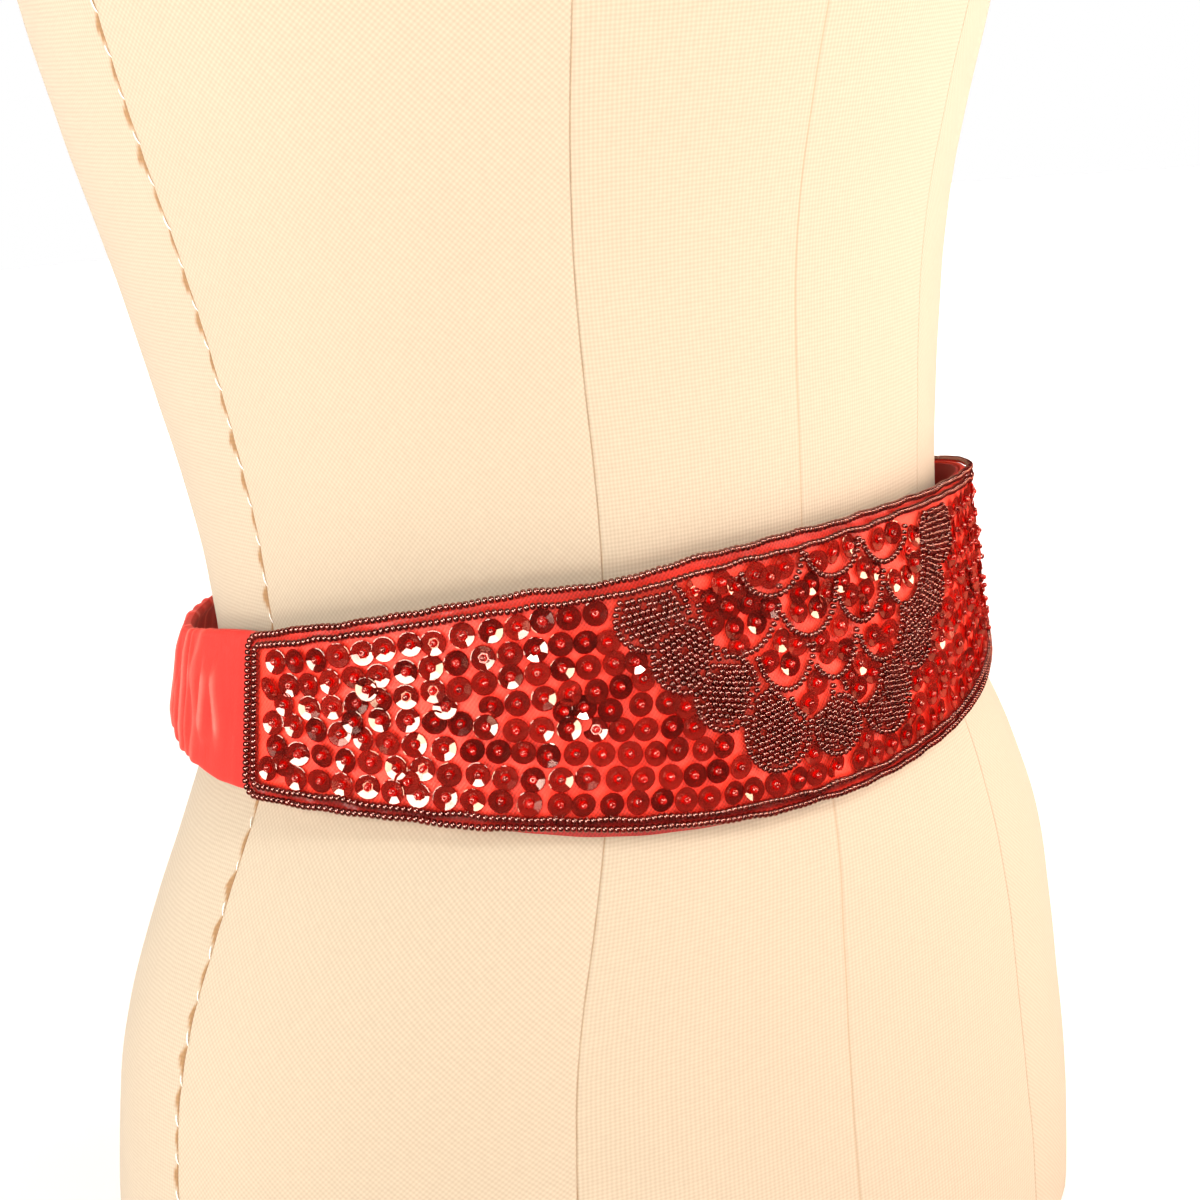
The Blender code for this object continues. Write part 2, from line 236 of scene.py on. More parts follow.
def belt(s, h, depth=0.0):
    """Points of the belt, in metres, for s, h and depth in mm."""
    s, h, depth = np.broadcast_arrays(*(np.asarray(v, float) for v in (s, h, depth)))
    turn = np.interp(s % RING_LENGTH, RING_LENGTHS, RING_ANGLES)
    from_front = np.minimum(turn, 2.0 * math.pi - turn)
    share = smoothstep((from_front - FLARE_START) / (FLARE_END - FLARE_START))
    growth = 1.0 - (FLARE_FRONT + (FLARE_BAND - FLARE_FRONT) * share) * h / 100.0
    deep = np.where(np.cos(turn) > 0.0, RING_FRONT_DEPTH, RING_BACK_DEPTH)
    out_x, out_y = np.sin(turn) / RING_HALF_WIDTH, -np.cos(turn) / deep
    size = np.hypot(out_x, out_y)
    x = RING_HALF_WIDTH * np.sin(turn) * growth - depth * out_x / size
    y = -deep * np.cos(turn) * growth - depth * out_y / size
    z = WAIST_HEIGHT + h + TILT_ACROSS * x + TILT_DEEP * y
    return np.stack((x, y, z), axis=-1) * MM


def unit(vectors):
    return vectors / np.linalg.norm(vectors, axis=-1, keepdims=True)


def belt_axes(s, h):
    """Unit vectors along the ring, up the belt and out of it."""
    along = unit(belt(s + 0.5, h) - belt(s - 0.5, h))
    up = unit(belt(s, h + 0.5) - belt(s, h - 0.5))
    return along, up, unit(np.cross(along, up))


def edge_height(terms, s):
    """An edge's height in mm: a constant, a square and a fourth-power term of the share of the way along."""
    share = s / PANEL_HALF_LENGTH
    return terms[0] + terms[1] * share ** 2 + terms[2] * share ** 4


def panel_bottom(s):
    return edge_height(PANEL_BOTTOM, s)


def panel_top(s):
    dip = DIP_DEPTH * smoothstep(1.0 - np.abs(s - DIP_MIDDLE) / DIP_REACH)
    return edge_height(PANEL_TOP, s) - dip


def panel_edges(s):
    into = np.maximum(np.abs(s) - PANEL_STRAIGHT, 0.0)
    cut = PANEL_CORNER - np.sqrt(np.maximum(PANEL_CORNER ** 2 - into ** 2, 0.0))
    return panel_bottom(s) + cut, panel_top(s) - cut


def ripples(x, y, wave_x, wave_y, seed, count=14):
    """Smooth uneven waves between about -1 and 1, of the two wavelengths given."""
    draw = random.Random(seed)
    total = np.zeros(np.broadcast(x, y).shape)
    for _ in range(count):
        turn_x = draw.gauss(0.0, 1.0) * 2.0 * math.pi / wave_x
        turn_y = draw.gauss(0.0, 1.0) * 2.0 * math.pi / wave_y
        total = total + np.sin(turn_x * x + turn_y * y + draw.uniform(0.0, 2.0 * math.pi))
    return total / math.sqrt(count / 2.0) / 1.6


# ---- meshes ----
def add_object(name, mesh):
    piece = bpy.data.objects.new(name, mesh)
    bpy.context.scene.collection.objects.link(piece)
    return piece


def write_attribute(mesh, label, values, kind="FLOAT"):
    """Gives each of a mesh's points its own value, or vector."""
    layer = mesh.attributes.new(label, kind, "POINT")
    field = "value" if kind == "FLOAT" else "vector"
    layer.data.foreach_set(field, np.asarray(values, np.float32).ravel())


def add_mesh(name, points, faces, material=None, cloth_uv=None, attributes=()):
    """An object at the origin; its points, and their places on the cloth, are in metres."""
    mesh = bpy.data.meshes.new(name)
    mesh.from_pydata(np.asarray(points).tolist(), [], faces if isinstance(faces, list) else faces.tolist())
    for label, values in dict(attributes).items():
        write_attribute(mesh, label, values)
    if cloth_uv is not None:
        corners = np.zeros(len(mesh.loops), np.int32)
        mesh.loops.foreach_get("vertex_index", corners)
        layer = mesh.uv_layers.new(name="Cloth")
        layer.uv.foreach_set("vector", np.asarray(cloth_uv, np.float32)[corners].ravel())
    builder = bmesh.new()
    builder.from_mesh(mesh)
    bmesh.ops.recalc_face_normals(builder, faces=builder.faces)
    builder.to_mesh(mesh)
    builder.free()
    mesh.shade_smooth()
    mesh.set_sharp_from_angle(angle=math.radians(50.0))
    if material:
        mesh.materials.append(material)
    return add_object(name, mesh)


def grid_faces(columns, rows, start=0):
    """Quads of a grid whose points are numbered column by column."""
    c, r = np.meshgrid(np.arange(columns - 1), np.arange(rows - 1), indexing="ij")
    first = start + c * rows + r
    return np.stack((first, first + rows, first + rows + 1, first + 1), axis=-1).reshape(-1, 4)


def rim_order(columns, rows):
    """Numbers of a grid's rim points, in order round it."""
    numbers = np.arange(columns * rows).reshape(columns, rows)
    return np.concatenate((numbers[:-1, 0], numbers[-1, :-1], numbers[:0:-1, -1], numbers[0, :0:-1]))


def add_shell(name, s, h, outer_depth, inner_depth, material, attributes=()):
    """A closed wall between two depths over one grid of s and h, with columns along s."""
    columns, rows = s.shape
    points = np.concatenate([belt(s, h, depth).reshape(-1, 3) for depth in (outer_depth, inner_depth)])
    count = columns * rows
    outside, rim = grid_faces(columns, rows), rim_order(columns, rows)
    sides = np.stack((rim, np.roll(rim, -1), np.roll(rim, -1) + count, rim + count), axis=-1)
    faces = np.concatenate((outside, outside[:, ::-1] + count, sides))
    place = np.stack((s, h), axis=-1).reshape(-1, 2) * MM
    both = {label: np.concatenate((values.ravel(), values.ravel()))
            for label, values in dict(attributes).items()}
    return add_mesh(name, points, faces, material, np.concatenate((place, place)), both)


def finish_piece(piece, slot, *nodes):
    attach(piece, BODY)
    if nodes:
        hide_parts(*nodes)
    return piece


# ---- nodes ----
def feed(tree, node, inputs):
    """Sets a node's inputs: a node or a socket is linked in, and anything else is the input's value."""
    for name, source in dict(inputs).items():
        if isinstance(source, bpy.types.Node):
            source = source.outputs[0]
        if isinstance(source, bpy.types.NodeSocket):
            tree.links.new(source, node.inputs[name])
        else:
            node.inputs[name].default_value = source


def add_node(tree, kind, inputs=(), stops=(), **options):
    """One node: options are its own properties, stops the places and colours of a colour ramp.
    A kind that names no family is a ShaderNode."""
    family = "" if kind.startswith(("Geometry", "Function", "Node")) else "ShaderNode"
    node = tree.nodes.new(family + kind)
    for name, value in options.items():
        setattr(node, name, value)
    feed(tree, node, inputs)
    for number, (place, rgb) in enumerate(stops):
        elements = node.color_ramp.elements
        element = elements[number] if number < 2 else elements.new(place)
        element.position, element.color = place, (*rgb, 1.0)
    return node


def new_tree(name, inputs):
    """A Geometry Nodes tree with its named inputs, and its input node's sockets."""
    tree = bpy.data.node_groups.new(name, "GeometryNodeTree")
    for label, kind in inputs:
        tree.interface.new_socket(label, in_out="INPUT", socket_type="NodeSocket" + kind)
    tree.interface.new_socket("Geometry", in_out="OUTPUT", socket_type="NodeSocketGeometry")
    return tree, tree.nodes.new("NodeGroupInput").outputs


SHARED_INPUTS = (("Geometry", "Geometry"), ("Template", "Object"), ("Material", "Material"),
                 ("Size spread", "Float"), ("Lean", "Float"), ("Seed", "Int"))


def set_template(tree, given, points, rotation, size=None):
    """Sets the template on each point, a little uneven, gives each its own tone, and ends the tree."""
    seed = given["Seed"]
    lean_low = add_node(tree, "Math", {0: given["Lean"], 1: -1.0}, operation="MULTIPLY")
    lean = add_node(tree, "FunctionNodeRandomValue", {0: lean_low, 1: given["Lean"], "Seed": seed},
                    data_type="FLOAT_VECTOR")
    turn = add_node(tree, "FunctionNodeEulerToRotation", {0: lean})
    leaned = add_node(tree, "FunctionNodeRotateRotation", {0: rotation, 1: turn}, rotation_space="LOCAL")
    low, high = (add_node(tree, "Math", {0: 1.0, 1: given["Size spread"]}, operation=operation)
                 for operation in ("SUBTRACT", "ADD"))
    scale = add_node(tree, "FunctionNodeRandomValue", {2: low, 3: high, "Seed": seed}).outputs[1]
    if size is not None:
        scale = add_node(tree, "Math", {0: scale, 1: size}, operation="MULTIPLY")
    template = add_node(tree, "GeometryNodeObjectInfo", {"Object": given["Template"]})
    copies = add_node(tree, "GeometryNodeInstanceOnPoints", {
        "Points": points, "Instance": template.outputs["Geometry"], "Rotation": leaned, "Scale": scale})
    shade = add_node(tree, "FunctionNodeRandomValue", {2: 0.0, 3: 1.0, "Seed": seed}).outputs[1]
    toned = add_node(tree, "GeometryNodeStoreNamedAttribute",
                     {"Name": "tone", "Geometry": copies, "Value": shade}, data_type="FLOAT",
                     domain="INSTANCE")
    real = add_node(tree, "GeometryNodeRealizeInstances", {0: toned})
    dressed = add_node(tree, "GeometryNodeSetMaterial", {"Geometry": real, "Material": given["Material"]})
    add_node(tree, "NodeGroupOutput", {0: dressed})


@functools.cache
def string_tree():
    """Beads threaded on strings: the carrier's edges are the strings."""
    tree, given = new_tree("beads on a string", SHARED_INPUTS + (("Pitch", "Float"),))
    curve = add_node(tree, "GeometryNodeMeshToCurve", {0: given["Geometry"]})
    evenly = add_node(tree, "GeometryNodeResampleCurve", {"Curve": curve, "Length": given["Pitch"]},
                      mode="LENGTH")
    tangent = add_node(tree, "GeometryNodeInputTangent")
    aligned = add_node(tree, "FunctionNodeAlignRotationToVector", {"Vector": tangent}, axis="Z")
    set_template(tree, given, evenly, aligned)
    return tree


@functools.cache
def point_tree():
    """A template on each of the carrier's points, its Z along one attribute and its X along another."""
    tree, given = new_tree("pieces on points", SHARED_INPUTS)
    along, facing, size = (
        add_node(tree, "GeometryNodeInputNamedAttribute", {"Name": name}, data_type=kind)
        for name, kind in (("along", "FLOAT_VECTOR"), ("facing", "FLOAT_VECTOR"), ("size", "FLOAT")))
    aligned = add_node(tree, "FunctionNodeAlignRotationToVector", {"Vector": along}, axis="Z")
    turned = add_node(tree, "FunctionNodeAlignRotationToVector", {"Rotation": aligned, "Vector": facing},
                      axis="X", pivot_axis="Z")
    set_template(tree, given, given["Geometry"], turned, size)
    return tree


def grow(name, carrier, tree, template, material, **inputs):
    """The plain mesh that a tree grows on its carrier; carrier and template are then removed."""
    values = {"Template": template, "Material": material}
    values.update({label.replace("_", " "): value for label, value in inputs.items()})
    modifier = carrier.modifiers.new(tree.name, "NODES")
    modifier.node_group = tree
    for item in tree.interface.items_tree:
        if item.in_out == "INPUT" and item.name in values:
            modifier[item.identifier] = values[item.name]
    depsgraph = bpy.context.evaluated_depsgraph_get()
    mesh = bpy.data.meshes.new_from_object(carrier.evaluated_get(depsgraph),
                                           preserve_all_data_layers=True, depsgraph=depsgraph)
    if not mesh.polygons:
        raise RuntimeError(f"nothing grew for {name}")
    mesh.name = name
    carrier.modifiers.remove(modifier)
    for used in (carrier, template):
        bpy.data.objects.remove(used)
    return add_object(name, mesh)


def carrier_of_points(name, points, along, facing, size):
    mesh = bpy.data.meshes.new(name)
    mesh.from_pydata(np.asarray(points).tolist(), [], [])
    write_attribute(mesh, "along", along, "FLOAT_VECTOR")
    write_attribute(mesh, "facing", facing, "FLOAT_VECTOR")
    write_attribute(mesh, "size", size)
    return add_object(name, mesh)


def carrier_of_loop(name, points):
    count = len(points)
    mesh = bpy.data.meshes.new(name)
    mesh.from_pydata(np.asarray(points).tolist(), [(i, (i + 1) % count) for i in range(count)], [])
    return add_object(name, mesh)


# ---- materials ----
MULTIPLY_COLOURS = {"data_type": "RGBA", "blend_type": "MULTIPLY"}
WHITE = (1.0, 1.0, 1.0)


def new_material(name):
    """A material with its node tree and its Principled shader."""
    material = bpy.data.materials.new(name)
    material.use_nodes = True
    tree = material.node_tree
    return material, tree, tree.nodes["Principled BSDF"]


def rgba(code):
    return (*linear(code), 1.0)


def shades(rgb, *steps):
    """Stops of a colour ramp, each a place and the factor that darkens or lightens the colour there."""
    return [(place, [min(channel * factor, 1.0) for channel in rgb]) for place, factor in steps]


def by_attribute(tree, name, stops):
    """A colour ramp read at each point's value of a mesh attribute."""
    value = add_node(tree, "Attribute", attribute_name=name)
    return add_node(tree, "ValToRGB", {0: value.outputs["Fac"]}, stops)


def cloth_place(tree, turn=0.0):
    """Each point's place on the flat cloth, in metres, turned by an angle."""
    place = add_node(tree, "UVMap", uv_map="Cloth")
    return add_node(tree, "Mapping", {0: place, "Rotation": (0.0, 0.0, turn)})


def threads(tree, place, direction, period, unevenness):
    """Bands that repeat every period metres across the cloth, wavy as spun yarn is."""
    wave = add_node(tree, "TexWave", {
        "Vector": place, "Scale": 2.0 * math.pi / 20.0 / period, "Distortion": unevenness, "Detail": 1.0,
        "Detail Scale": 0.6, "Detail Roughness": 0.5}, bands_direction=direction)
    return wave.outputs["Fac"]


def linen(cloth):
    """Plain-woven linen: matte, cream, with slubs along both threads and shadow in its seams."""
    material, tree, shader = new_material("plain_woven_linen")
    place = cloth_place(tree)
    # the thread is really about 0.45 mm; it is drawn at 1.0 mm, the finest that the picture shows
    warp, weft = (threads(tree, place, direction, 1.0 * MM, 0.9) for direction in "XY")
    weave = add_node(tree, "Math", {0: warp, 1: weft}, operation="ADD")
    drawn_out = add_node(tree, "Mapping", {0: place, "Scale": (0.6, 1.0, 1.0)})
    slubs = add_node(tree, "TexNoise", {"Vector": drawn_out, "Scale": 700.0, "Detail": 1.0})
    faint_weave = add_node(tree, "Math", {0: weave, 1: 0.4}, operation="MULTIPLY")
    tint = add_node(tree, "Math", {0: slubs, 1: 0.3, 2: faint_weave}, operation="MULTIPLY_ADD")
    ramp = add_node(tree, "ValToRGB", {0: tint}, shades(cloth.linen, (0.1, 0.85), (1.0, 1.09)))
    shadow = by_attribute(tree, "seam", ((0.0, WHITE), (1.0, linear("#957048")), (0.5, linear("#DCB88C"))))
    sewn = add_node(tree, "Mix", {0: 1.0, 6: ramp, 7: shadow}, **MULTIPLY_COLOURS)
    bump = add_node(tree, "Bump", {"Height": tint, "Strength": 0.4, "Distance": 0.12 * MM})
    feed(tree, shader, {"Base Color": sewn.outputs[2], "Normal": bump, "Roughness": 0.88,
                        "Sheen Weight": 0.1, "Sheen Roughness": 0.6})
    return material


def satin(name, rgb, roughness):
    """Polyester satin: long floats lie in one direction, so it is glossy, with a fine slanting twill."""
    material, tree, shader = new_material(name)
    # the floats are really 0.2 mm wide; they are drawn at 0.8 mm, the finest that the picture shows
    twill, cross = (threads(tree, cloth_place(tree, math.radians(slant)), "X", 0.8 * MM, 0.8)
                    for slant in (38.0, -44.0))
    floats = add_node(tree, "Math", {0: cross, 1: 0.6, 2: twill}, operation="MULTIPLY_ADD")
    cloud = add_node(tree, "TexNoise", {"Vector": cloth_place(tree), "Scale": 60.0, "Detail": 3.0})
    tone = add_node(tree, "Math", {0: floats, 1: 0.34, 2: cloud}, operation="MULTIPLY_ADD")
    ramp = add_node(tree, "ValToRGB", {0: tone}, shades(rgb, (0.35, 0.62), (1.05, 1.3)))
    # between the border's strings the stitches draw the satin into a groove; painted shade darkens the satin
    # there, as little light falls into it
    groove_shade = by_attribute(tree, "groove", ((0.0, WHITE), (1.0, (0.24, 0.05, 0.05)), (0.4, (0.78, 0.5, 0.5))))
    drawn = add_node(tree, "Mix", {0: 1.0, 6: ramp, 7: groove_shade}, **MULTIPLY_COLOURS)
    bump = add_node(tree, "Bump", {"Height": floats, "Strength": 0.4, "Distance": 0.06 * MM})
    feed(tree, shader, {"Base Color": drawn.outputs[2], "Normal": bump, "Roughness": roughness,
                        "Anisotropic": 0.5, "Sheen Weight": 0.1, "Sheen Roughness": 0.35,
                        "Sheen Tint": rgba("#FF9C8C")})
    return material


def crepe(cloth):
    """Crepe of overtwisted yarn: matte and pebbled, with fine creases that run up the gathers."""
    material, tree, shader = new_material("gathered_crepe")
    place = cloth_place(tree)
    pebble = add_node(tree, "TexNoise", {"Vector": place, "Scale": 1400.0, "Detail": 2.0})
    creases = threads(tree, place, "X", 2.3 * MM, 6.0)
    soft = add_node(tree, "Math", {0: creases, 1: 0.16, 2: pebble}, operation="MULTIPLY_ADD")
    ramp = add_node(tree, "ValToRGB", {0: soft}, shades(cloth.crepe, (0.25, 0.98), (0.9, 1.22)))
    # painted shade and light: the colour is darker in the valleys between the gathers and paler on each
    # crest, as the folds catch the light
    spread = by_attribute(tree, "crest", ((0.0, (0.76, 0.56, 0.56)), (1.0, WHITE), (0.5, (0.92, 0.8, 0.8))))
    deep = add_node(tree, "Mix", {0: 1.0, 6: ramp, 7: spread}, **MULTIPLY_COLOURS)
    # painted highlight: a little light is added on the highest crests
    pale = by_attribute(tree, "crest", ((0.55, (0.0, 0.0, 0.0)), (1.0, (0.08, 0.07, 0.06)),
                                        (0.8, (0.03, 0.022, 0.018))))
    shaded_crepe = add_node(tree, "Mix", {0: 1.0, 6: deep.outputs[2], 7: pale}, data_type="RGBA", blend_type="ADD")
    bump = add_node(tree, "Bump", {"Height": soft, "Strength": 0.4, "Distance": 0.15 * MM})
    feed(tree, shader, {"Base Color": shaded_crepe.outputs[2], "Normal": bump, "Roughness": 0.8,
                        "Sheen Weight": 0.12, "Sheen Roughness": 0.5, "Sheen Tint": rgba("#FFB0A0"),
                        "Subsurface Weight": 0.4, "Subsurface Radius": (1.0, 0.25, 0.2),
                        "Subsurface Scale": 3.0 * MM})
    return material


def bead_glass(name, rgb):
    """Fire-polished glass with a lustre coat: dark, with a red glow inside and one sharp light on each."""
    material, tree, shader = new_material(name)
    ramp = by_attribute(tree, "tone", shades(rgb, (0.0, 0.55), (1.0, 1.6)))
    # the lustre coat reflects more than bare glass, whose index is 1.52
    feed(tree, shader, {"Base Color": ramp, "Roughness": 0.06, "IOR": 3.1, "Transmission Weight": 0.2,
                        "Specular Tint": rgba("#FFCCC0")})
    return material


def sequin_film(sequins):
    """Clear dyed polyester film, pressed into facets: see-through dark red, each facet a small mirror."""
    material, tree, shader = new_material("dyed_sequin_film")
    ramp = by_attribute(tree, "tone", shades(sequins.film, (0.0, 0.4), (1.0, 1.6)))
    # the film's front and back both reflect, so its index is set above the 1.6 of polyester
    feed(tree, shader, {"Base Color": ramp, "Roughness": 0.07, "IOR": 3.6,
                        "Specular Tint": rgba("#FFEEE0")})
    # painted light: the film's tint is lightest and the film clearest in the flat middle, where light
    # gathers, and the rim is lighter again; the slanting wall is seen through more film, so it is darker
    tint = by_attribute(tree, "reach", ((0.30, linear("#FF7060")), (1.0, linear("#F08070")),
                                        (0.5, linear("#D84C3A")), (0.9, linear("#C83E30"))))
    opening = by_attribute(tree, "reach", shades(WHITE, (0.30, 0.85), (1.0, 0.75), (0.5, 0.56), (0.88, 0.5)))
    clear = add_node(tree, "BsdfTransparent", {"Color": tint})
    mixed = add_node(tree, "MixShader", {0: opening, 1: shader, 2: clear})
    feed(tree, tree.nodes["Material Output"], {"Surface": mixed})
    return material


def cotton_thread():
    """White mercerised cotton thread, twisted: its twist shows as fine slanting bands."""
    material, tree, shader = new_material("white_cotton_thread")
    place = add_node(tree, "TexCoord").outputs["Object"]
    twist = threads(tree, place, "DIAGONAL", 0.5 * MM, 0.5)
    ramp = add_node(tree, "ValToRGB", {0: twist}, ((0.0, linear("#E4DCD0")), (1.0, linear("#FFFDF8"))))
    feed(tree, shader, {"Base Color": ramp, "Roughness": 0.6, "Sheen Weight": 0.2})
    return material


def studio_paint(studio):
    """Matte white studio paint, with the faint mottling of a rolled coat."""
    material, tree, shader = new_material("matte_studio_paint")
    place = add_node(tree, "TexCoord").outputs["Object"]
    rolled = add_node(tree, "TexNoise", {"Vector": place, "Scale": 6.0, "Detail": 3.0})
    ramp = add_node(tree, "ValToRGB", {0: rolled}, shades(studio.floor, (0.3, 0.985), (0.7, 1.0)))
    feed(tree, shader, {"Base Color": ramp, "Roughness": 0.9})
    return material


# ---- templates of the small parts, along Z, in metres ----
def bead_template(beads):
    """A seed bead: a rounded ring of glass, wider than it is long."""
    outer, hole, half_length = beads.width / 2.0, beads.hole / 2.0, beads.long / 2.0
    middle, wall = (outer + hole) / 2.0, (outer - hole) / 2.0
    around, across = 10, 8
    points, faces = [], []
    for i in range(around):
        turn = 2.0 * math.pi * i / around
        for k in range(across):
            swing = 2.0 * math.pi * k / across
            radius = middle + wall * math.cos(swing)
            points.append((radius * math.cos(turn), radius * math.sin(turn), half_length * math.sin(swing)))
            ahead, side = (i + 1) % around, (k + 1) % across
            faces.append((i * across + k, ahead * across + k, ahead * across + side, i * across + side))
    template = add_mesh("bead_template", points, faces)
    template.data.set_sharp_from_angle(angle=math.pi)
    return template


def sequin_template(sequins):
    """A cupped sequin: a flat six-sided middle with a hole, six flat facets and a narrow rim."""
    rim, hole, flat = sequins.width / 2.0, 0.45 * MM, 1.15 * MM
    facet_edge, film = rim - 0.22 * MM, 0.1 * MM
    slope = sequins.cup / (facet_edge - flat)
    steps = 3
    points, faces = [], []

    def add(radius, turn, drop=0.0):
        """A point on the cup's face at this radius: the facets are flat, so their edge waves."""
        off = (turn + math.pi / 6.0) % (math.pi / 3.0) - math.pi / 6.0
        reach = min(radius, facet_edge) * math.cos(off)
        points.append((radius * math.cos(turn), radius * math.sin(turn),
                       max(reach - flat, 0.0) * slope - drop))
        return len(points) - 1

    corner = flat / math.cos(math.pi / 6.0)
    turns = [math.pi / 3.0 * k + math.pi / 6.0 for k in range(6)]
    fine = [turns[0] + math.pi / 3.0 * i / steps for i in range(6 * steps)]
    layers = []
    for drop in (0.0, film):
        layers.append(([add(hole, turn, drop) for turn in turns], [add(corner, turn, drop) for turn in turns],
                       [add(facet_edge, turn, drop) for turn in fine]))
    edge = [add(rim, turn, film / 2.0) for turn in fine]
    for inner, middle, outer in layers:
        for k in range(6):
            after = (k + 1) % 6
            faces.append((inner[k], middle[k], middle[after], inner[after]))
            arc = [outer[(k * steps + i) % len(outer)] for i in range(steps + 1)]
            faces.append((middle[k], *arc, middle[after]))
    for (_, _, outer) in layers:
        for i in range(len(edge)):
            after = (i + 1) % len(edge)
            faces.append((outer[i], edge[i], edge[after], outer[after]))
    for k in range(6):
        after = (k + 1) % 6
        faces.append((layers[0][0][k], layers[0][0][after], layers[1][0][after], layers[1][0][k]))
    reach = [math.hypot(x, y) / rim for x, y, _ in points]
    template = add_mesh("sequin_template", points, faces, attributes={"reach": reach})
    template.data.shade_flat()
    return template


def stitch_template(size=STITCH_LENGTH * MM, thick=0.15 * MM, bow=0.26 * MM):
    """One hand stitch: a stretch of thread that dips into the cloth at both ends."""
    rings, around = 7, 6
    points, faces = [], []
    for i in range(rings):
        share = i / (rings - 1)
        radius = thick * math.sqrt(max(1.0 - (2.0 * share - 1.0) ** 6, 0.02))
        for k in range(around):
            turn = 2.0 * math.pi * k / around
            points.append((bow * math.sin(math.pi * share) + radius * math.cos(turn),
                           radius * math.sin(turn), size * (share - 0.5)))
            if i:
                here, back = i * around, (i - 1) * around
                side = (k + 1) % around
                faces.append((back + k, back + side, here + side, here + k))
    faces += [tuple(range(around)), tuple((rings - 1) * around + k for k in range(around))]
    return add_mesh("stitch_template", points, faces)


# ---- the dress form ----
@functools.cache
def form_rings():
    """Height, half width, depth to the front and to the back of each ring of the form's solid, in metres."""
    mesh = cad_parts["dress_form"].data
    points = np.zeros(len(mesh.vertices) * 3, np.float32)
    mesh.vertices.foreach_get("co", points)
    points = points.reshape(-1, 3)
    levels = np.round(points[:, 2], 5)
    rings = []
    for level in np.unique(levels):
        ring = points[levels == level]
        rings.append((level, ring[:, 0].max(), -ring[:, 1].min(), ring[:, 1].max()))
    return np.array(rings)


def form_section(position):
    """The rings' four values at fractional rows, on a smooth curve through them."""
    rings = form_rings()
    last = len(rings) - 1
    row = np.clip(np.floor(position).astype(int), 0, last - 1)
    t = (position - row)[..., None]
    a, b, c, d = (rings[np.clip(row + k, 0, last)] for k in (-1, 0, 1, 2))
    return b + 0.5 * t * (c - a + t * (2 * a - 5 * b + 4 * c - d + t * (3 * (b - c) + d - a)))


def form_points(turn, position, out):
    """Points of the form at an angle from the centre front, moved out by some metres."""
    section = form_section(position)
    z, wide = section[..., 0], section[..., 1] - COVER_INSET * MM
    deep = np.where(np.cos(turn) > 0.0, section[..., 2], section[..., 3]) - COVER_INSET * MM
    out_x, out_y = np.sin(turn) / wide, -np.cos(turn) / deep
    size = np.hypot(out_x, out_y)
    x = wide * np.sin(turn) + out * out_x / size
    y = -deep * np.cos(turn) + out * out_y / size
    return np.stack((x, y, z), axis=-1)


def seam_opening(z):
    """How far a hand-sewn seam gapes at a height in metres: 0 at each stitch, up to 1 between two."""
    stitch = z / (STITCH_PITCH * MM)
    uneven = 0.75 + 0.25 * np.sin(1.7 * np.floor(stitch))
    return uneven * np.sin(math.pi * stitch) ** 2


def seam_turn(seam, z):
    start, growth, _ = seam
    return start + growth * (z - WAIST_HEIGHT * MM) / 0.1


def seam_relief(kind, d, z):
    """Height over the plain form, in mm, and shadow, 0 to 1, at d mm in front of a seam."""
    if kind == "faint":
        return -0.1 * np.exp(-(d / 0.25) ** 2), 0.22 * np.exp(-(d / 0.25) ** 2)
    if kind == "closed":
        broken = 0.75 + 0.25 * ripples(z * 1000.0, 0.0 * z, 9.0, 1.0, 12)
        relief = -0.3 * np.exp(-(d / 0.2) ** 2) - 0.1 * np.exp(-np.abs(d) / 2.5)
        return relief, 0.36 * broken * np.exp(-(d / 0.17) ** 2)
    gape = seam_opening(z)
    folded = (0.08 + 0.16 * gape) * np.exp(-np.maximum(d, 0.0) / 2.0)
    under = -(0.08 + 0.22 * gape) * np.exp(np.minimum(d, 0.0) / 1.6)
    lens = 0.6 * smoothstep((d + 0.4 + 2.9 * gape) / 0.7) * smoothstep(gape / 0.2)
    border = smoothstep((d + 0.6) / 0.35) * (0.35 + 0.65 * smoothstep(gape / 0.4))
    relief = np.where(d > 0.08, folded, under)
    return relief, np.where(d > 0.1, 0.0, np.maximum(lens, border))


def cover_columns(z):
    """Angle, relief, shadow and place on the cloth of every grid column, at the heights z."""
    seams = [(-start, -growth, kind) for start, growth, kind in FORM_SEAMS[:0:-1]] + list(FORM_SEAMS)
    seams[0] = (-math.pi, 0.0, FORM_SEAMS[-1][2])
    columns = []
    for before, after in zip(seams, seams[1:]):
        first, second = seam_turn(before, z), seam_turn(after, z)
        span = second - first
        near = [mm / FORM_RADIUS for mm in SEAM_COLUMNS]
        stations = [first + off for off in near]
        stations += [first + near[-1] + (span - 2.0 * near[-1]) * i / (PLAIN_COLUMNS + 1)
                     for i in range(1, PLAIN_COLUMNS + 1)]
        stations += [second - off for off in near[:0:-1]]
        for turn in stations:
            relief, dark = 0.0, 0.0
            for seam, off in ((before, turn - first), (after, second - turn)):
                distance = off * FORM_RADIUS
                to_front = distance if (seam[0] < 0.0) == (seam is before) else -distance
                to_front = to_front if seam[0] != 0.0 else distance
                more, darker = seam_relief(seam[2], to_front, z)
                relief, dark = relief + more, np.maximum(dark, darker)
            across = (turn - (first + second) / 2.0) * FORM_RADIUS * MM
            place = np.stack((across + 0.0 * z, z), axis=-1)
            side_gore = {before[2], after[2]} == {"closed", "lapped"}
            if side_gore and abs(before[0] + after[0]) / 2.0 < FRONT_REACH:
                place = place @ BIAS            # the side front gores are cut on the bias
            columns.append((turn, relief, dark, place))
    return columns


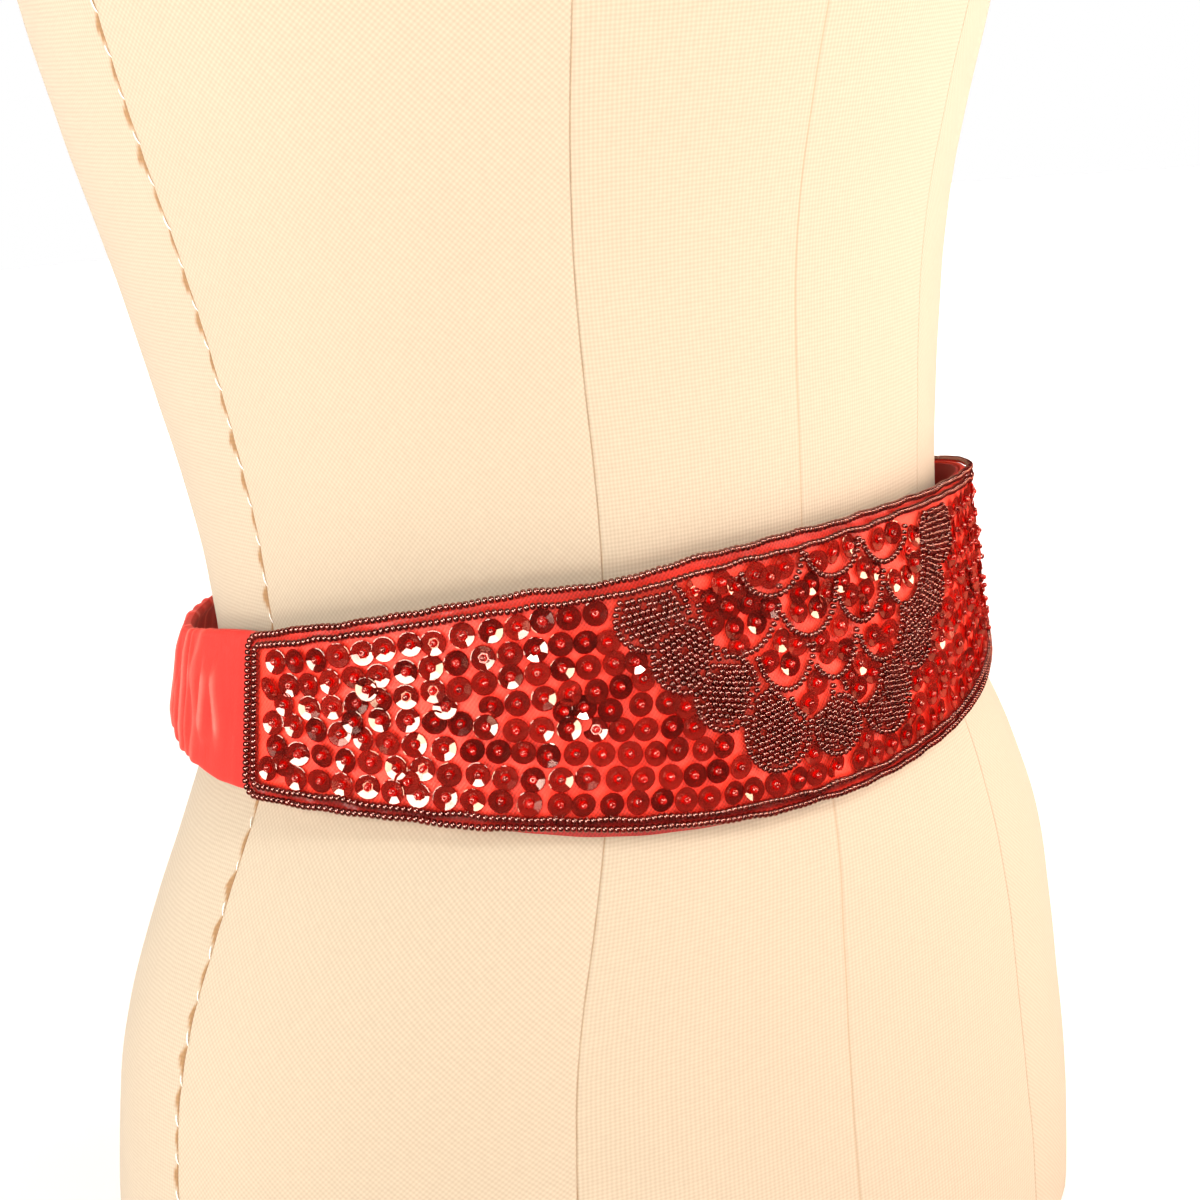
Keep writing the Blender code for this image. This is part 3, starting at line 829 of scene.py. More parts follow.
def add_linen_cover(cloth, material):
    """The form's linen cover: eight gores that meet in seams, closed at the neck and at the base."""
    last = len(form_rings()) - 1
    position = np.linspace(0.0, last, COVER_ROWS + 1)
    z = form_section(position)[:, 0]
    columns = cover_columns(z)
    points, dark, place = [], [], []
    for turn, relief, darkness, spot in columns:
        soft = 0.12 * ripples(turn * FORM_RADIUS, z * 1000.0, 60.0, 80.0, cloth.seed)
        points.append(form_points(turn, position, (relief + soft) * MM))
        dark.append(np.broadcast_to(darkness, z.shape))
        place.append(spot)
    count, rows = len(points), len(z)
    numbers = np.arange(count * rows).reshape(count, rows)
    numbers = np.concatenate((numbers, numbers[:1]))
    faces = np.stack((numbers[:-1, :-1], numbers[1:, :-1], numbers[1:, 1:], numbers[:-1, 1:]), axis=-1)
    faces = faces.reshape(-1, 4).tolist()
    points, dark, place = (np.concatenate(v).tolist() for v in (points, dark, place))
    for row in (0, rows - 1):
        rim = [int(n) for n in numbers[:-1, row]]
        middle = np.mean([points[n] for n in rim], axis=0)
        for share in (0.96, 0.6, 0.2):
            ring = []
            for column in range(count):
                ring.append(len(points))
                outermost = np.array(points[numbers[column, row]])
                points.append((middle + (outermost - middle) * share).tolist())
                dark.append(0.0)
                place.append(points[-1][:2])
            faces += [[rim[k], rim[(k + 1) % count], ring[(k + 1) % count], ring[k]] for k in range(count)]
            rim = ring
        faces.append(rim)
    return add_mesh("linen_cover", points, faces, material, place, {"seam": dark})


def add_side_stitches(material):
    """Hand stitches down both side seams, each from the back gore to the folded edge of the front one."""
    seam = FORM_SEAMS[2]
    rings = form_rings()
    draw = random.Random(8)
    pitch, margin = STITCH_PITCH * MM, STITCH_MARGIN * MM
    first, last = math.ceil(margin / pitch), math.floor((rings[-1, 0] - margin) / pitch)
    points, along, facing, size = [], [], [], []
    for side in (-1.0, 1.0):
        for k in range(first, last + 1):
            z = k * STITCH_PITCH * MM
            ends = []
            for rise, ahead in ((-0.5, 0.55), (0.5, -0.85)):
                level = z + rise * STITCH_LENGTH * MM * draw.uniform(0.85, 1.1)
                position = np.interp(level, rings[:, 0], np.arange(len(rings)))
                turn = side * (seam_turn(seam, level) - (ahead + draw.uniform(-0.2, 0.2)) / FORM_RADIUS)
                ends.append(form_points(np.array(turn), np.array(position), 0.22 * MM))
            middle = (ends[0] + ends[1]) / 2.0
            points.append(middle)
            along.append(unit(ends[1] - ends[0]))
            facing.append(unit(middle * (1.0, 1.0, 0.0)))
            size.append(draw.uniform(0.8, 1.1))
    carrier = carrier_of_points("stitch_points", points, along, facing, size)
    return grow("side_seam_stitches", carrier, point_tree(), stitch_template(), material,
                Size_spread=0.06, Lean=0.04, Seed=8)


# ---- cloth ----
def fine_stations(half_length, step):
    """Columns from end to end, closer together round the panel's corners."""
    inner = min(half_length, PANEL_STRAIGHT)
    middle = np.linspace(-inner, inner, int(2.0 * inner / step) + 1)
    if half_length <= PANEL_STRAIGHT:
        return middle
    corner = inner + PANEL_CORNER * np.sin(np.radians(np.linspace(0.0, 90.0, 8)[1:]))
    return np.concatenate((-corner[::-1], middle, corner))


def edge_rounding(share, width, height):
    """Extra depth beside the two long edges, so that the cloth turns over them."""
    near = np.minimum(share, 1.0 - share) * width
    return height * np.exp(-near / 0.45)


def sheet_grid(s, share, low, high):
    """s, h and the whole width at each point of a sheet between its lower and its upper edge."""
    width = (high - low)[:, None]
    return np.repeat(s[:, None], len(share), axis=1), low[:, None] + width * share, width


def add_satin_panel(cloth, material):
    s = fine_stations(PANEL_HALF_LENGTH, 1.0)
    share = np.linspace(0.0, 1.0, 46)
    share = 0.5 - 0.5 * np.cos(math.pi * share) * (0.35 + 0.65 * np.abs(np.cos(math.pi * share)) ** 0.2)
    share = (share - share[0]) / (share[-1] - share[0])
    low, high = panel_edges(s)
    low, high = low + 0.3, high - 1.2           # the edge string covers the turned edge
    s, h, width = sheet_grid(s, share, low, high)
    from_long_edge = np.minimum(h - low[:, None], high[:, None] - h)
    inside = smoothstep(from_long_edge / 6.0)
    pucker = cloth.pucker / MM * inside * (0.65 * ripples(s, h, 26.0, 9.0, cloth.seed)
                                           + 0.35 * ripples(s, h, 9.0, 14.0, cloth.seed + 1))
    from_edge = np.minimum(from_long_edge, PANEL_HALF_LENGTH - np.abs(s))
    groove = np.exp(-((from_edge - 1.9) / 1.4) ** 2)
    # painted shade: the groove's value also darkens the satin's colour, half as much along the top
    groove = groove * np.where(high[:, None] - h < 6.0, 0.5, 1.0)           # it lies flatter along the top
    drawn_up = 0.42 * groove * ripples(s + 0.6 * h, h, 7.0, 30.0, cloth.seed + 2)
    depth = edge_rounding(share, width, 0.45) - np.clip(pucker + drawn_up, -0.4, 0.4)
    return add_shell("satin_panel", s, h, depth + 0.3 * groove, PANEL_WALL, material, {"groove": groove})


def add_satin_lining(material):
    s = fine_stations(PANEL_HALF_LENGTH - LINING_SHORT, 2.0)
    share = np.linspace(0.0, 1.0, 25)
    low, high = panel_edges(s)
    peep = LINING_PEEP * (1.0 - (s / PANEL_HALF_LENGTH) ** 2) + 0.25 * ripples(s, 0.0 * s, 34.0, 1.0, 9)
    peep = peep + 1.1 * np.exp(-((s + 60.0) / 22.0) ** 2)       # it hangs lowest left of the centre front
    low, high = low - peep, high - 1.6
    s, h, width = sheet_grid(s, share, low, high)
    top = PANEL_WALL + GAP + edge_rounding(share, width, 0.25)
    return add_shell("satin_lining", s, h, top, PANEL_WALL + GAP + LINING_WALL, material)


def gather_ridges(cloth, start, stop):
    """The band's gathers: where each one starts, leans and bends, its height, width and reach."""
    draw = random.Random(cloth.seed)
    ridges, s = [], start + BAND_PLAIN
    while s < stop - BAND_PLAIN:
        whole = draw.random() < 0.7
        ridges.append((
            s, draw.uniform(-0.16, 0.16), draw.uniform(-1.6, 1.6), draw.uniform(0.5, 1.25),
            draw.uniform(1.1, 2.4), (0.0 if whole else draw.uniform(-0.55, 0.55)),
            (3.0 if whole else draw.uniform(0.5, 0.9))))
        s += draw.uniform(4.0, 8.6)
    return ridges


def add_gathered_band(cloth, material):
    """Crepe drawn up over elastic: uneven soft folds that scallop both edges, smooth beside the panel."""
    start, stop = PANEL_HALF_LENGTH, RING_LENGTH - PANEL_HALF_LENGTH
    s = np.linspace(start - BAND_TUCK, stop + BAND_TUCK, 760)
    share = np.linspace(0.0, 1.0, 30)
    share = 0.5 - 0.5 * np.cos(math.pi * share)
    along = np.minimum(s - start, stop - s)
    taper = smoothstep(along / BAND_TAPER)
    low = panel_bottom(start) + BAND_MARGIN + BAND_BOTTOM_RISE * taper
    high = panel_top(start) - BAND_MARGIN - BAND_TOP_DROP * taper
    up = 2.0 * share - 1.0
    fold = np.zeros((len(s), len(share)))
    for middle, lean, bend, tall, wide, centre, reach in gather_ridges(cloth, start, stop):
        line = middle + lean * BAND_HALF_DEPTH * up + bend * np.sin(1.5 * math.pi * up)
        fade = smoothstep((reach - np.abs(up - centre)) / 0.4)
        fold += tall * fade * np.exp(-((s[:, None] - line) / wide) ** 2)
    fold *= smoothstep((along - 0.4 * BAND_PLAIN) / BAND_PLAIN)[:, None]
    near_edge = smoothstep((np.abs(up) - 0.55) / 0.45)
    out = smoothstep(along / BAND_RISE)[:, None]
    face = (PANEL_WALL + GAP) * (1.0 - out) + (BAND_DEPTH + 0.35) * out
    slack = 0.3 * ripples(s[:, None], 10.0 * up, 16.0, 30.0, cloth.seed + 4) * out
    s, h, width = sheet_grid(s, share, low, high)
    h = h + 0.24 * fold * np.sign(up) * near_edge
    depth = face - fold * (1.0 - 0.55 * near_edge) * cloth.gather / MM - slack
    depth = np.maximum(depth, -1.0) + edge_rounding(share, width, 0.9) * out
    rolled = 1.7 * np.exp(-(((1.0 - share) * width - 1.6) / 1.6) ** 2) * out
    # the folds' height is also kept for the crepe's painted shade in the valleys and painted highlight on the
    # crests
    return add_shell("gathered_band", s, h, depth, face + BAND_WALL - 0.35 + rolled, material,
                     {"crest": fold})


# ---- strings of beads ----
def panel_outline(inset_top, inset_below, step=0.5):
    """s and h of a line inside the panel's edge, all the way round; inset_top is a function of s."""

    def edge_line(edge, side, inset):
        s = np.arange(-PANEL_STRAIGHT, PANEL_STRAIGHT + 0.01, step)
        slope = edge(s + 0.5) - edge(s - 0.5)
        size, inset = np.hypot(1.0, slope), inset(s)
        return np.stack((s + side * slope / size * inset, edge(s) - side * inset / size), axis=-1)

    def corner_line(side_s, side_h, first, last):
        edge = panel_top if side_h > 0.0 else panel_bottom
        centre = np.array((side_s * PANEL_STRAIGHT, edge(side_s * PANEL_STRAIGHT) - side_h * PANEL_CORNER))
        turn = np.radians(np.linspace(first, last, 7)[1:-1])
        outwards = np.stack((side_s * np.sin(turn), side_h * np.cos(turn)), axis=-1)
        return centre + (PANEL_CORNER - inset_below) * outwards

    return np.concatenate((
        edge_line(panel_bottom, -1.0, lambda s: inset_below),
        corner_line(1.0, -1.0, 0.0, 90.0), corner_line(1.0, 1.0, 90.0, 0.0),
        edge_line(panel_top, 1.0, inset_top)[::-1],
        corner_line(-1.0, 1.0, 0.0, 90.0), corner_line(-1.0, -1.0, 90.0, 0.0)))


def add_border_string(name, inset_top, inset_below, beads, material, seed):
    line = panel_outline(inset_top, inset_below)
    s, h = line[:, 0], line[:, 1]
    calm = smoothstep((PANEL_STRAIGHT - np.abs(s)) / 12.0)
    h = h + 0.3 * calm * ripples(s, h, 17.0, 40.0, seed)
    points = belt(s, h, -BEAD_REST)
    return grow(name, carrier_of_loop(name + "_line", points), string_tree(), bead_template(beads), material,
                Size_spread=0.05, Lean=0.14, Seed=seed, Pitch=beads.pitch)


class Places:
    """Places taken on the panel, in mm of s and h."""

    def __init__(self, cell=4.0):
        self.cell = cell
        self.cells = {}

    def near(self, s, h, reach):
        across = int(math.ceil(reach / self.cell))
        column, row = int(s // self.cell), int(h // self.cell)
        for i in range(column - across, column + across + 1):
            for k in range(row - across, row + across + 1):
                for other in self.cells.get((i, k), ()):
                    yield math.hypot(other[0] - s, other[1] - h)

    def free(self, s, h, reach):
        return all(distance >= reach for distance in self.near(s, h, reach))

    def add(self, s, h):
        self.cells.setdefault((int(s // self.cell), int(h // self.cell)), []).append((s, h))


def all_lobes():
    return list(GARLAND_LOBES) + [(-s, h, a, b, -turn) for s, h, a, b, turn in GARLAND_LOBES if s > 0.0]


def lobe_reach(lobe, s, h, shrink=0.0):
    """0 at the lobe's middle and 1 on its outline, moved inwards by some mm."""
    return math.hypot((s - lobe[0]) / (lobe[2] - shrink), (h - lobe[1]) / (lobe[3] - shrink))


def net_floor(s):
    """Height of the net's lowest string at s, or a great height where the net doesn't reach."""
    floor = [ends - hang * math.sqrt(1.0 - ((s - middle) / half) ** 2)
             for middle, ends, half, hang in NET_CELLS if abs(s - middle) < half]
    return min(floor, default=99.0)


def ceiling(s):
    return float(panel_top(s)) - INNER_ROW_INSET_TOP - 1.5


def walk(line, pitch):
    """Places along a line of (s, h) points, pitch mm apart, with the line's direction there."""
    line = np.asarray(line)
    steps = np.hypot(*np.diff(line, axis=0).T)
    lengths = np.concatenate(([0.0], np.cumsum(steps)))
    count = max(int(lengths[-1] / pitch), 1)
    stops = (np.arange(count) + 0.5) * lengths[-1] / count
    s, h = (np.interp(stops, lengths, line[:, k]) for k in (0, 1))
    ahead = np.minimum(stops + 0.1, lengths[-1])
    behind = np.maximum(stops - 0.1, 0.0)
    ds, dh = (np.interp(ahead, lengths, line[:, k]) - np.interp(behind, lengths, line[:, k])
              for k in (0, 1))
    return list(zip(s, h, ds, dh))


@functools.cache
def motif():
    """Beads of the garland and of the net, as lists of (s, h, ds, dh)."""
    beads = bpy.context.scene.cummerbund_beads
    pitch, row_pitch = beads.pitch / MM, beads.row_pitch / MM
    draw = random.Random(beads.seed)
    taken, garland, net = Places(), [], []
    lobes = all_lobes()

    def lay(group, place, gap):
        if taken.free(place[0], place[1], gap):
            taken.add(place[0], place[1])
            group.append(place)

    for lobe in lobes:
        turns = np.radians(np.arange(0.0, 360.0, 4.0))
        line = [(lobe[0] + (lobe[2] - 1.0) * math.sin(t), lobe[1] + (lobe[3] - 1.0) * math.cos(t))
                for t in turns]
        for place in walk(line, pitch):
            s, h = place[:2]
            outermost = all(other is lobe or lobe_reach(other, s, h, 1.0) > 1.0 for other in lobes)
            if outermost and h < min(net_floor(s), ceiling(s)):
                lay(garland, place, 1.2)
    for middle, ends, half, hang in NET_CELLS:
        turns = np.radians(np.linspace(-90.0, 90.0, 40))
        line = [(middle + half * math.sin(t), ends - hang * math.cos(t)) for t in turns]
        for place in walk(line, pitch):
            if place[1] < ceiling(place[0]):
                lay(net, place, 1.25)

    def own_lobe(s, h):
        """The lobe whose strings run through this place, or None outside the garland."""
        lobe = min(lobes, key=lambda other: lobe_reach(other, s, h))
        covered = lobe_reach(lobe, s, h, 1.6) < 1.0 and h < min(net_floor(s), ceiling(s))
        return lobe if covered else None

    for lobe in lobes:
        slant = math.radians(lobe[4])
        axis = np.array((math.sin(slant), -math.cos(slant)))
        side = np.array((-axis[1], axis[0]))
        reach = int(max(lobe[2], lobe[3]) * 1.9 / row_pitch)
        for k in range(-reach, reach + 1):
            offset, phase = k * row_pitch, pitch * (0.5 * (k % 2) + draw.uniform(0.0, 0.2))
            line = [np.array(lobe[:2]) + axis * t + side * offset * (0.9 + 0.012 * t)
                    for t in np.arange(-24.0 + phase, 13.0, pitch)]
            for before, place in zip(line, line[1:]):
                s, h = place + (draw.gauss(0.0, 0.06), draw.gauss(0.0, 0.06))
                if own_lobe(s, h) is lobe:
                    lay(garland, (s, h, *(place - before)), 1.36)
    for _ in range(14000):
        s, h = draw.uniform(-60.0, 60.0), draw.uniform(-26.0, 30.0)
        lobe = own_lobe(s, h)
        if lobe:
            slant = math.radians(lobe[4] + draw.uniform(-25.0, 25.0))
            lay(garland, (s, h, math.sin(slant), -math.cos(slant)), 1.26)
    return garland, net


def add_motif_beads(name, group, material, beads, seed, lean):
    values = np.array(group)
    s, h = values[:, 0], values[:, 1]
    along, up, out = belt_axes(s, h)
    draw = random.Random(seed)
    lift = np.array([draw.uniform(-0.1, 0.25) for _ in group])
    heading = unit(along * values[:, 2:3] + up * values[:, 3:4])
    carrier = carrier_of_points(name + "_points", belt(s, h, -BEAD_REST - lift), heading, out,
                                np.full(len(group), beads.motif_size))
    return grow(name, carrier, point_tree(), bead_template(beads), material,
                Size_spread=0.06, Lean=lean, Seed=seed)


# ---- sequins ----
@functools.cache
def sequin_places():
    """Where each sequin's middle lies: in rows beside the garland, and a few in each cell of the net."""
    sequins = bpy.context.scene.cummerbund_sequins
    pitch, row, half = sequins.pitch / MM, sequins.row / MM, sequins.width / MM / 2.0
    draw = random.Random(sequins.seed)
    garland, net = motif()
    strung, taken, chosen = Places(), Places(8.0), []
    for place in garland + net:
        strung.add(place[0], place[1])
    end = PANEL_HALF_LENGTH - INNER_ROW_INSET - half - 0.9

    def inside(s, h):
        low = float(panel_bottom(s)) + INNER_ROW_INSET + half + 0.7
        high = float(panel_top(s)) - INNER_ROW_INSET_TOP - half - 0.5
        return abs(s) < end and low - 0.2 <= h <= high + 0.2

    def lay(s, h, gap, clear):
        if inside(s, h) and taken.free(s, h, gap) and strung.free(s, h, clear):
            taken.add(s, h)
            chosen.append((s, h))

    for side in (-1.0, 1.0):
        for level in range(6):
            for edge, way, inset in ((panel_bottom, 1.0, INNER_ROW_INSET + half + 0.8),
                                     (panel_top, -1.0, INNER_ROW_INSET_TOP + half + 0.6)):
                s = end - draw.uniform(0.2, 0.5 * pitch)
                while s > 0.0:
                    place = side * (s + draw.gauss(0.0, 0.22))
                    h = float(edge(place)) + way * (inset + level * row) + draw.gauss(0.0, 0.25)
                    lay(place, h, 5.0, 2.8)
                    s -= pitch * draw.uniform(0.95, 1.06)
    for gap, clear in ((5.6, 2.6), (5.0, 2.6), (4.5, 2.4), (4.1, 2.2)):
        for _ in range(6000):
            s = draw.uniform(-end, end)
            lay(s, draw.uniform(float(panel_bottom(s)), float(panel_top(s))), gap, clear)
    return chosen


def sequin_axes():
    """Middle, outward direction and sideways direction of every sequin, each leaning its own way."""
    sequins = bpy.context.scene.cummerbund_sequins
    draw = random.Random(sequins.seed + 1)
    places = np.array(sequin_places())
    along, up, out = belt_axes(places[:, 0], places[:, 1])
    lean = np.array([[draw.gauss(0.0, math.tan(sequins.tilt)) for _ in range(2)] for _ in places])
    outward = unit(out + along * lean[:, :1] + up * lean[:, 1:])
    spin = np.array([draw.uniform(0.0, 2.0 * math.pi) for _ in places])[:, None]
    sideways = along * np.cos(spin) + up * np.sin(spin)
    lift = np.array([0.42 + draw.uniform(0.0, 0.35) for _ in places])
    return belt(places[:, 0], places[:, 1], -lift), outward, sideways


def add_sequins(sequins, material):
    middle, outward, sideways = sequin_axes()
    carrier = carrier_of_points("sequin_points", middle, outward, sideways, np.ones(len(middle)))
    return grow("cupped_sequins", carrier, point_tree(), sequin_template(sequins), material,
                Size_spread=0.02, Lean=0.0, Seed=sequins.seed)


def add_stop_beads(beads, material):
    """The small bead that holds each sequin: some show their hole, most lie on their side."""
    middle, outward, sideways = sequin_axes()
    draw = random.Random(beads.seed + 2)
    showing = np.array([draw.random() < 0.35 for _ in middle])[:, None]
    heading = unit(np.where(showing, outward + 0.35 * sideways, sideways + 0.35 * outward))
    facing = np.where(showing, sideways, outward)
    centre = middle + outward * np.where(showing, 0.62, 0.95) * MM
    carrier = carrier_of_points("stop_bead_points", centre, heading, facing, np.full(len(middle), 0.9))
    return grow("sequin_stop_beads", carrier, point_tree(), bead_template(beads), material,
                Size_spread=0.06, Lean=0.25, Seed=beads.seed)


# ---- the studio ----
# name, degrees round from the front to the wearer's right, degrees up, metres from the belt,
# width and height in metres, brightness in W/m2/sr, colour, and whether polished faces mirror it
LIGHTS = (
    ("window_left", 91.0, 17.0, 1.35, 0.42, 0.50, 11.0, "#FFF8F0", True),
    ("window_middle", 70.0, 21.0, 1.35, 0.44, 0.48, 11.0, "#FFF8F0", True),
    ("window_right", 49.0, 17.0, 1.35, 0.34, 0.26, 11.0, "#FFF8F0", True),
    ("window_low", 60.0, -3.0, 1.35, 0.32, 0.30, 10.0, "#FFEAD0", True),
    ("overhead_front", 4.0, 40.0, 1.35, 0.26, 0.26, 42.0, "#FFFAF4", True),
    ("side_glint", -52.0, 17.0, 1.50, 0.40, 0.52, 13.0, "#FFE2C4", True),
    ("side_sheen", -75.0, 3.0, 1.50, 1.60, 0.70, 1.2, "#FF9478", True),
    ("side_soft", -44.0, 15.0, 1.10, 0.90, 0.86, 6.0, "#FFF0E6", False),
    ("back_left_soft", 132.0, 15.0, 1.60, 1.10, 1.10, 3.0, "#FFF8F4", False),
    ("back_right_soft", -140.0, 20.0, 1.80, 1.10, 1.10, 2.0, "#FFF8F4", False),
    ("above_soft", 180.0, 72.0, 1.50, 1.20, 1.20, 2.2, "#FFF8F4", False),
)
BACKDROP_LIGHTS, BACKDROP_REACH, BACKDROP_HEIGHT, BACKDROP_SIZE = 6, 2.6, 1.3, 3.0
BACKDROP_BRIGHTNESS, BACKDROP_SPREAD = 1.7, math.radians(75.0)


def add_floor(material):
    """A wide plain floor, just under the form's base."""
    steps, reach = 64, 3.3
    points = [(reach * math.cos(2.0 * math.pi * k / steps), reach * math.sin(2.0 * math.pi * k / steps),
               -0.0004) for k in range(steps)]
    return add_mesh("studio_floor", points, [tuple(range(steps))], material)


def add_lamp(name, place, aim, width, height, brightness, code, mirrored):
    """A soft rectangular light that the camera doesn't see."""
    light = bpy.data.lights.new(name, "AREA")
    light.shape = "RECTANGLE"
    light.size, light.size_y = width, height
    light.energy = brightness * math.pi * width * height
    light.color = linear(code)
    lamp = bpy.data.objects.new(name, light)
    lamp.visible_camera = False
    lamp.visible_glossy = mirrored
    lamp.matrix_world = Matrix.Translation(place) @ aim.to_track_quat("Z", "Y").to_matrix().to_4x4()
    bpy.context.scene.collection.objects.link(lamp)
    return light


def add_lights():
    """Window light from the wearer's right, lights from the other sides and above, and six over the floor."""
    middle = Vector((0.0, 0.0, WAIST_HEIGHT * MM))
    for name, turn, rise, distance, width, height, brightness, code, mirrored in LIGHTS:
        turn, rise = math.radians(turn), math.radians(rise)
        toward = Vector((-math.sin(turn) * math.cos(rise), -math.cos(turn) * math.cos(rise),
                         math.sin(rise)))
        add_lamp(name, middle + toward * distance, toward, width, height, brightness, code, mirrored)
    for number in range(BACKDROP_LIGHTS):
        turn = 2.0 * math.pi * (number + 0.5) / BACKDROP_LIGHTS
        place = Vector((BACKDROP_REACH * math.cos(turn), BACKDROP_REACH * math.sin(turn), BACKDROP_HEIGHT))
        light = add_lamp(f"backdrop_{number}", place, Vector((0.0, 0.0, 1.0)), BACKDROP_SIZE,
                         BACKDROP_SIZE, BACKDROP_BRIGHTNESS, "#FFFFFF", False)
        light.spread = BACKDROP_SPREAD


def add_world():
    """A pale studio: white where it is seen, dimmer as a light, and dark in reflections."""
    world = bpy.data.worlds.new("studio")
    bpy.context.scene.world = world
    world.use_nodes = True
    tree = world.node_tree
    tree.nodes.clear()
    path = add_node(tree, "LightPath").outputs
    fill, seen, dim = (add_node(tree, "Background", {"Color": rgba(code), "Strength": strength})
                       for code, strength in (("#FFF6EC", 0.20), ("#FFFFFF", 1.0), ("#FFF0E8", 0.03)))
    lit = add_node(tree, "MixShader", {0: path["Is Glossy Ray"], 1: fill, 2: dim})
    shown = add_node(tree, "MixShader", {0: path["Is Camera Ray"], 1: lit, 2: seen})
    add_node(tree, "OutputWorld", {0: shown})


def add_camera(studio):
    turn, rise = -studio.azimuth, studio.elevation
    back = Vector((-math.sin(turn) * math.cos(rise), -math.cos(turn) * math.cos(rise), math.sin(rise)))
    level = Vector((math.cos(turn), -math.sin(turn), 0.0))
    upright = back.cross(level)
    cos_roll, sin_roll = math.cos(studio.roll), math.sin(studio.roll)
    right = cos_roll * level - sin_roll * upright
    up = sin_roll * level + cos_roll * upright
    place = Vector((0.0, 0.0, WAIST_HEIGHT * MM)) + studio.across * right + studio.up * up
    place += studio.distance * back
    lens = bpy.data.cameras.new("camera")
    lens.lens = studio.lens
    lens.sensor_width = 36.0
    lens.clip_start = 0.01
    camera = bpy.data.objects.new("camera", lens)
    camera.matrix_world = Matrix((right, up, back)).transposed().to_4x4()
    camera.location = place
    bpy.context.scene.collection.objects.link(camera)
    bpy.context.scene.camera = camera


# ---- operators ----
class CUMMERBUND_OT_studio(bpy.types.Operator):
    """Sets the floor, the soft lights and the camera"""
    bl_idname = "cummerbund.studio"
    bl_label = "Studio"

    def execute(self, context):
        studio = context.scene.cummerbund_studio
        floor = add_floor(studio_paint(studio))
        floor.visible_glossy = False            # the beads mirror the dark of the room, not the floor
        add_lights()
        add_world()
        add_camera(studio)
        context.scene.view_settings.view_transform = "Standard"
        return {"FINISHED"}


class CUMMERBUND_OT_linen_cover(bpy.types.Operator):
    """Covers the dress form with linen gores and sews its side seams by hand"""
    bl_idname = "cummerbund.linen_cover"
    bl_label = "Linen cover"

    def execute(self, context):
        cloth = context.scene.cummerbund_cloth
        finish_piece(add_linen_cover(cloth, linen(cloth)), "form_linen", "dress_form")
        finish_piece(add_side_stitches(cotton_thread()), "form_linen")
        return {"FINISHED"}


class CUMMERBUND_OT_panel(bpy.types.Operator):
    """Makes the stiffened satin front panel and its lining"""
    bl_idname = "cummerbund.panel"
    bl_label = "Satin panel and lining"

    def execute(self, context):
        cloth = context.scene.cummerbund_cloth
        face = satin("panel_satin_weave", cloth.satin, 0.38)
        lining = satin("lining_satin_weave", cloth.lining, 0.5)
        finish_piece(add_satin_panel(cloth, face), "panel_satin", "front_panel")
        finish_piece(add_satin_lining(lining), "lining_satin", "panel_lining")
        return {"FINISHED"}


class CUMMERBUND_OT_band(bpy.types.Operator):
    """Makes the gathered elastic band that closes the belt round the back"""
    bl_idname = "cummerbund.band"
    bl_label = "Gathered band"

    def execute(self, context):
        cloth = context.scene.cummerbund_cloth
        finish_piece(add_gathered_band(cloth, crepe(cloth)), "band_crepe", "back_band")
        return {"FINISHED"}


class CUMMERBUND_OT_beadwork(bpy.types.Operator):
    """Threads the two border strings, the garland and the fish-scale net"""
    bl_idname = "cummerbund.beadwork"
    bl_label = "Beadwork"

    def execute(self, context):
        beads = context.scene.cummerbund_beads
        glass = bead_glass("oxblood_seed_bead_glass", beads.glass)

        def top_inset(s):
            wide = smoothstep((112.0 - np.abs(s)) / 50.0) * (1.0 - smoothstep((s - 5.0) / 30.0))
            return INNER_ROW_INSET + (INNER_ROW_INSET_TOP - INNER_ROW_INSET) * wide

        edge = add_border_string("edge_bead_string", lambda s: EDGE_ROW_INSET, EDGE_ROW_INSET, beads,
                                 glass, 21)
        inner = add_border_string("inner_bead_string", top_inset, INNER_ROW_INSET, beads, glass, 22)
        garland, net = motif()
        finish_piece(edge, "glass_beads", "edge_bead_row")
        finish_piece(inner, "glass_beads", "inner_bead_row")
        finish_piece(add_motif_beads("garland_beads", garland, glass, beads, 23, 0.4), "glass_beads",
                     "beaded_garland")
        finish_piece(add_motif_beads("scale_net_strings", net, glass, beads, 24, 0.15), "glass_beads")
        return {"FINISHED"}


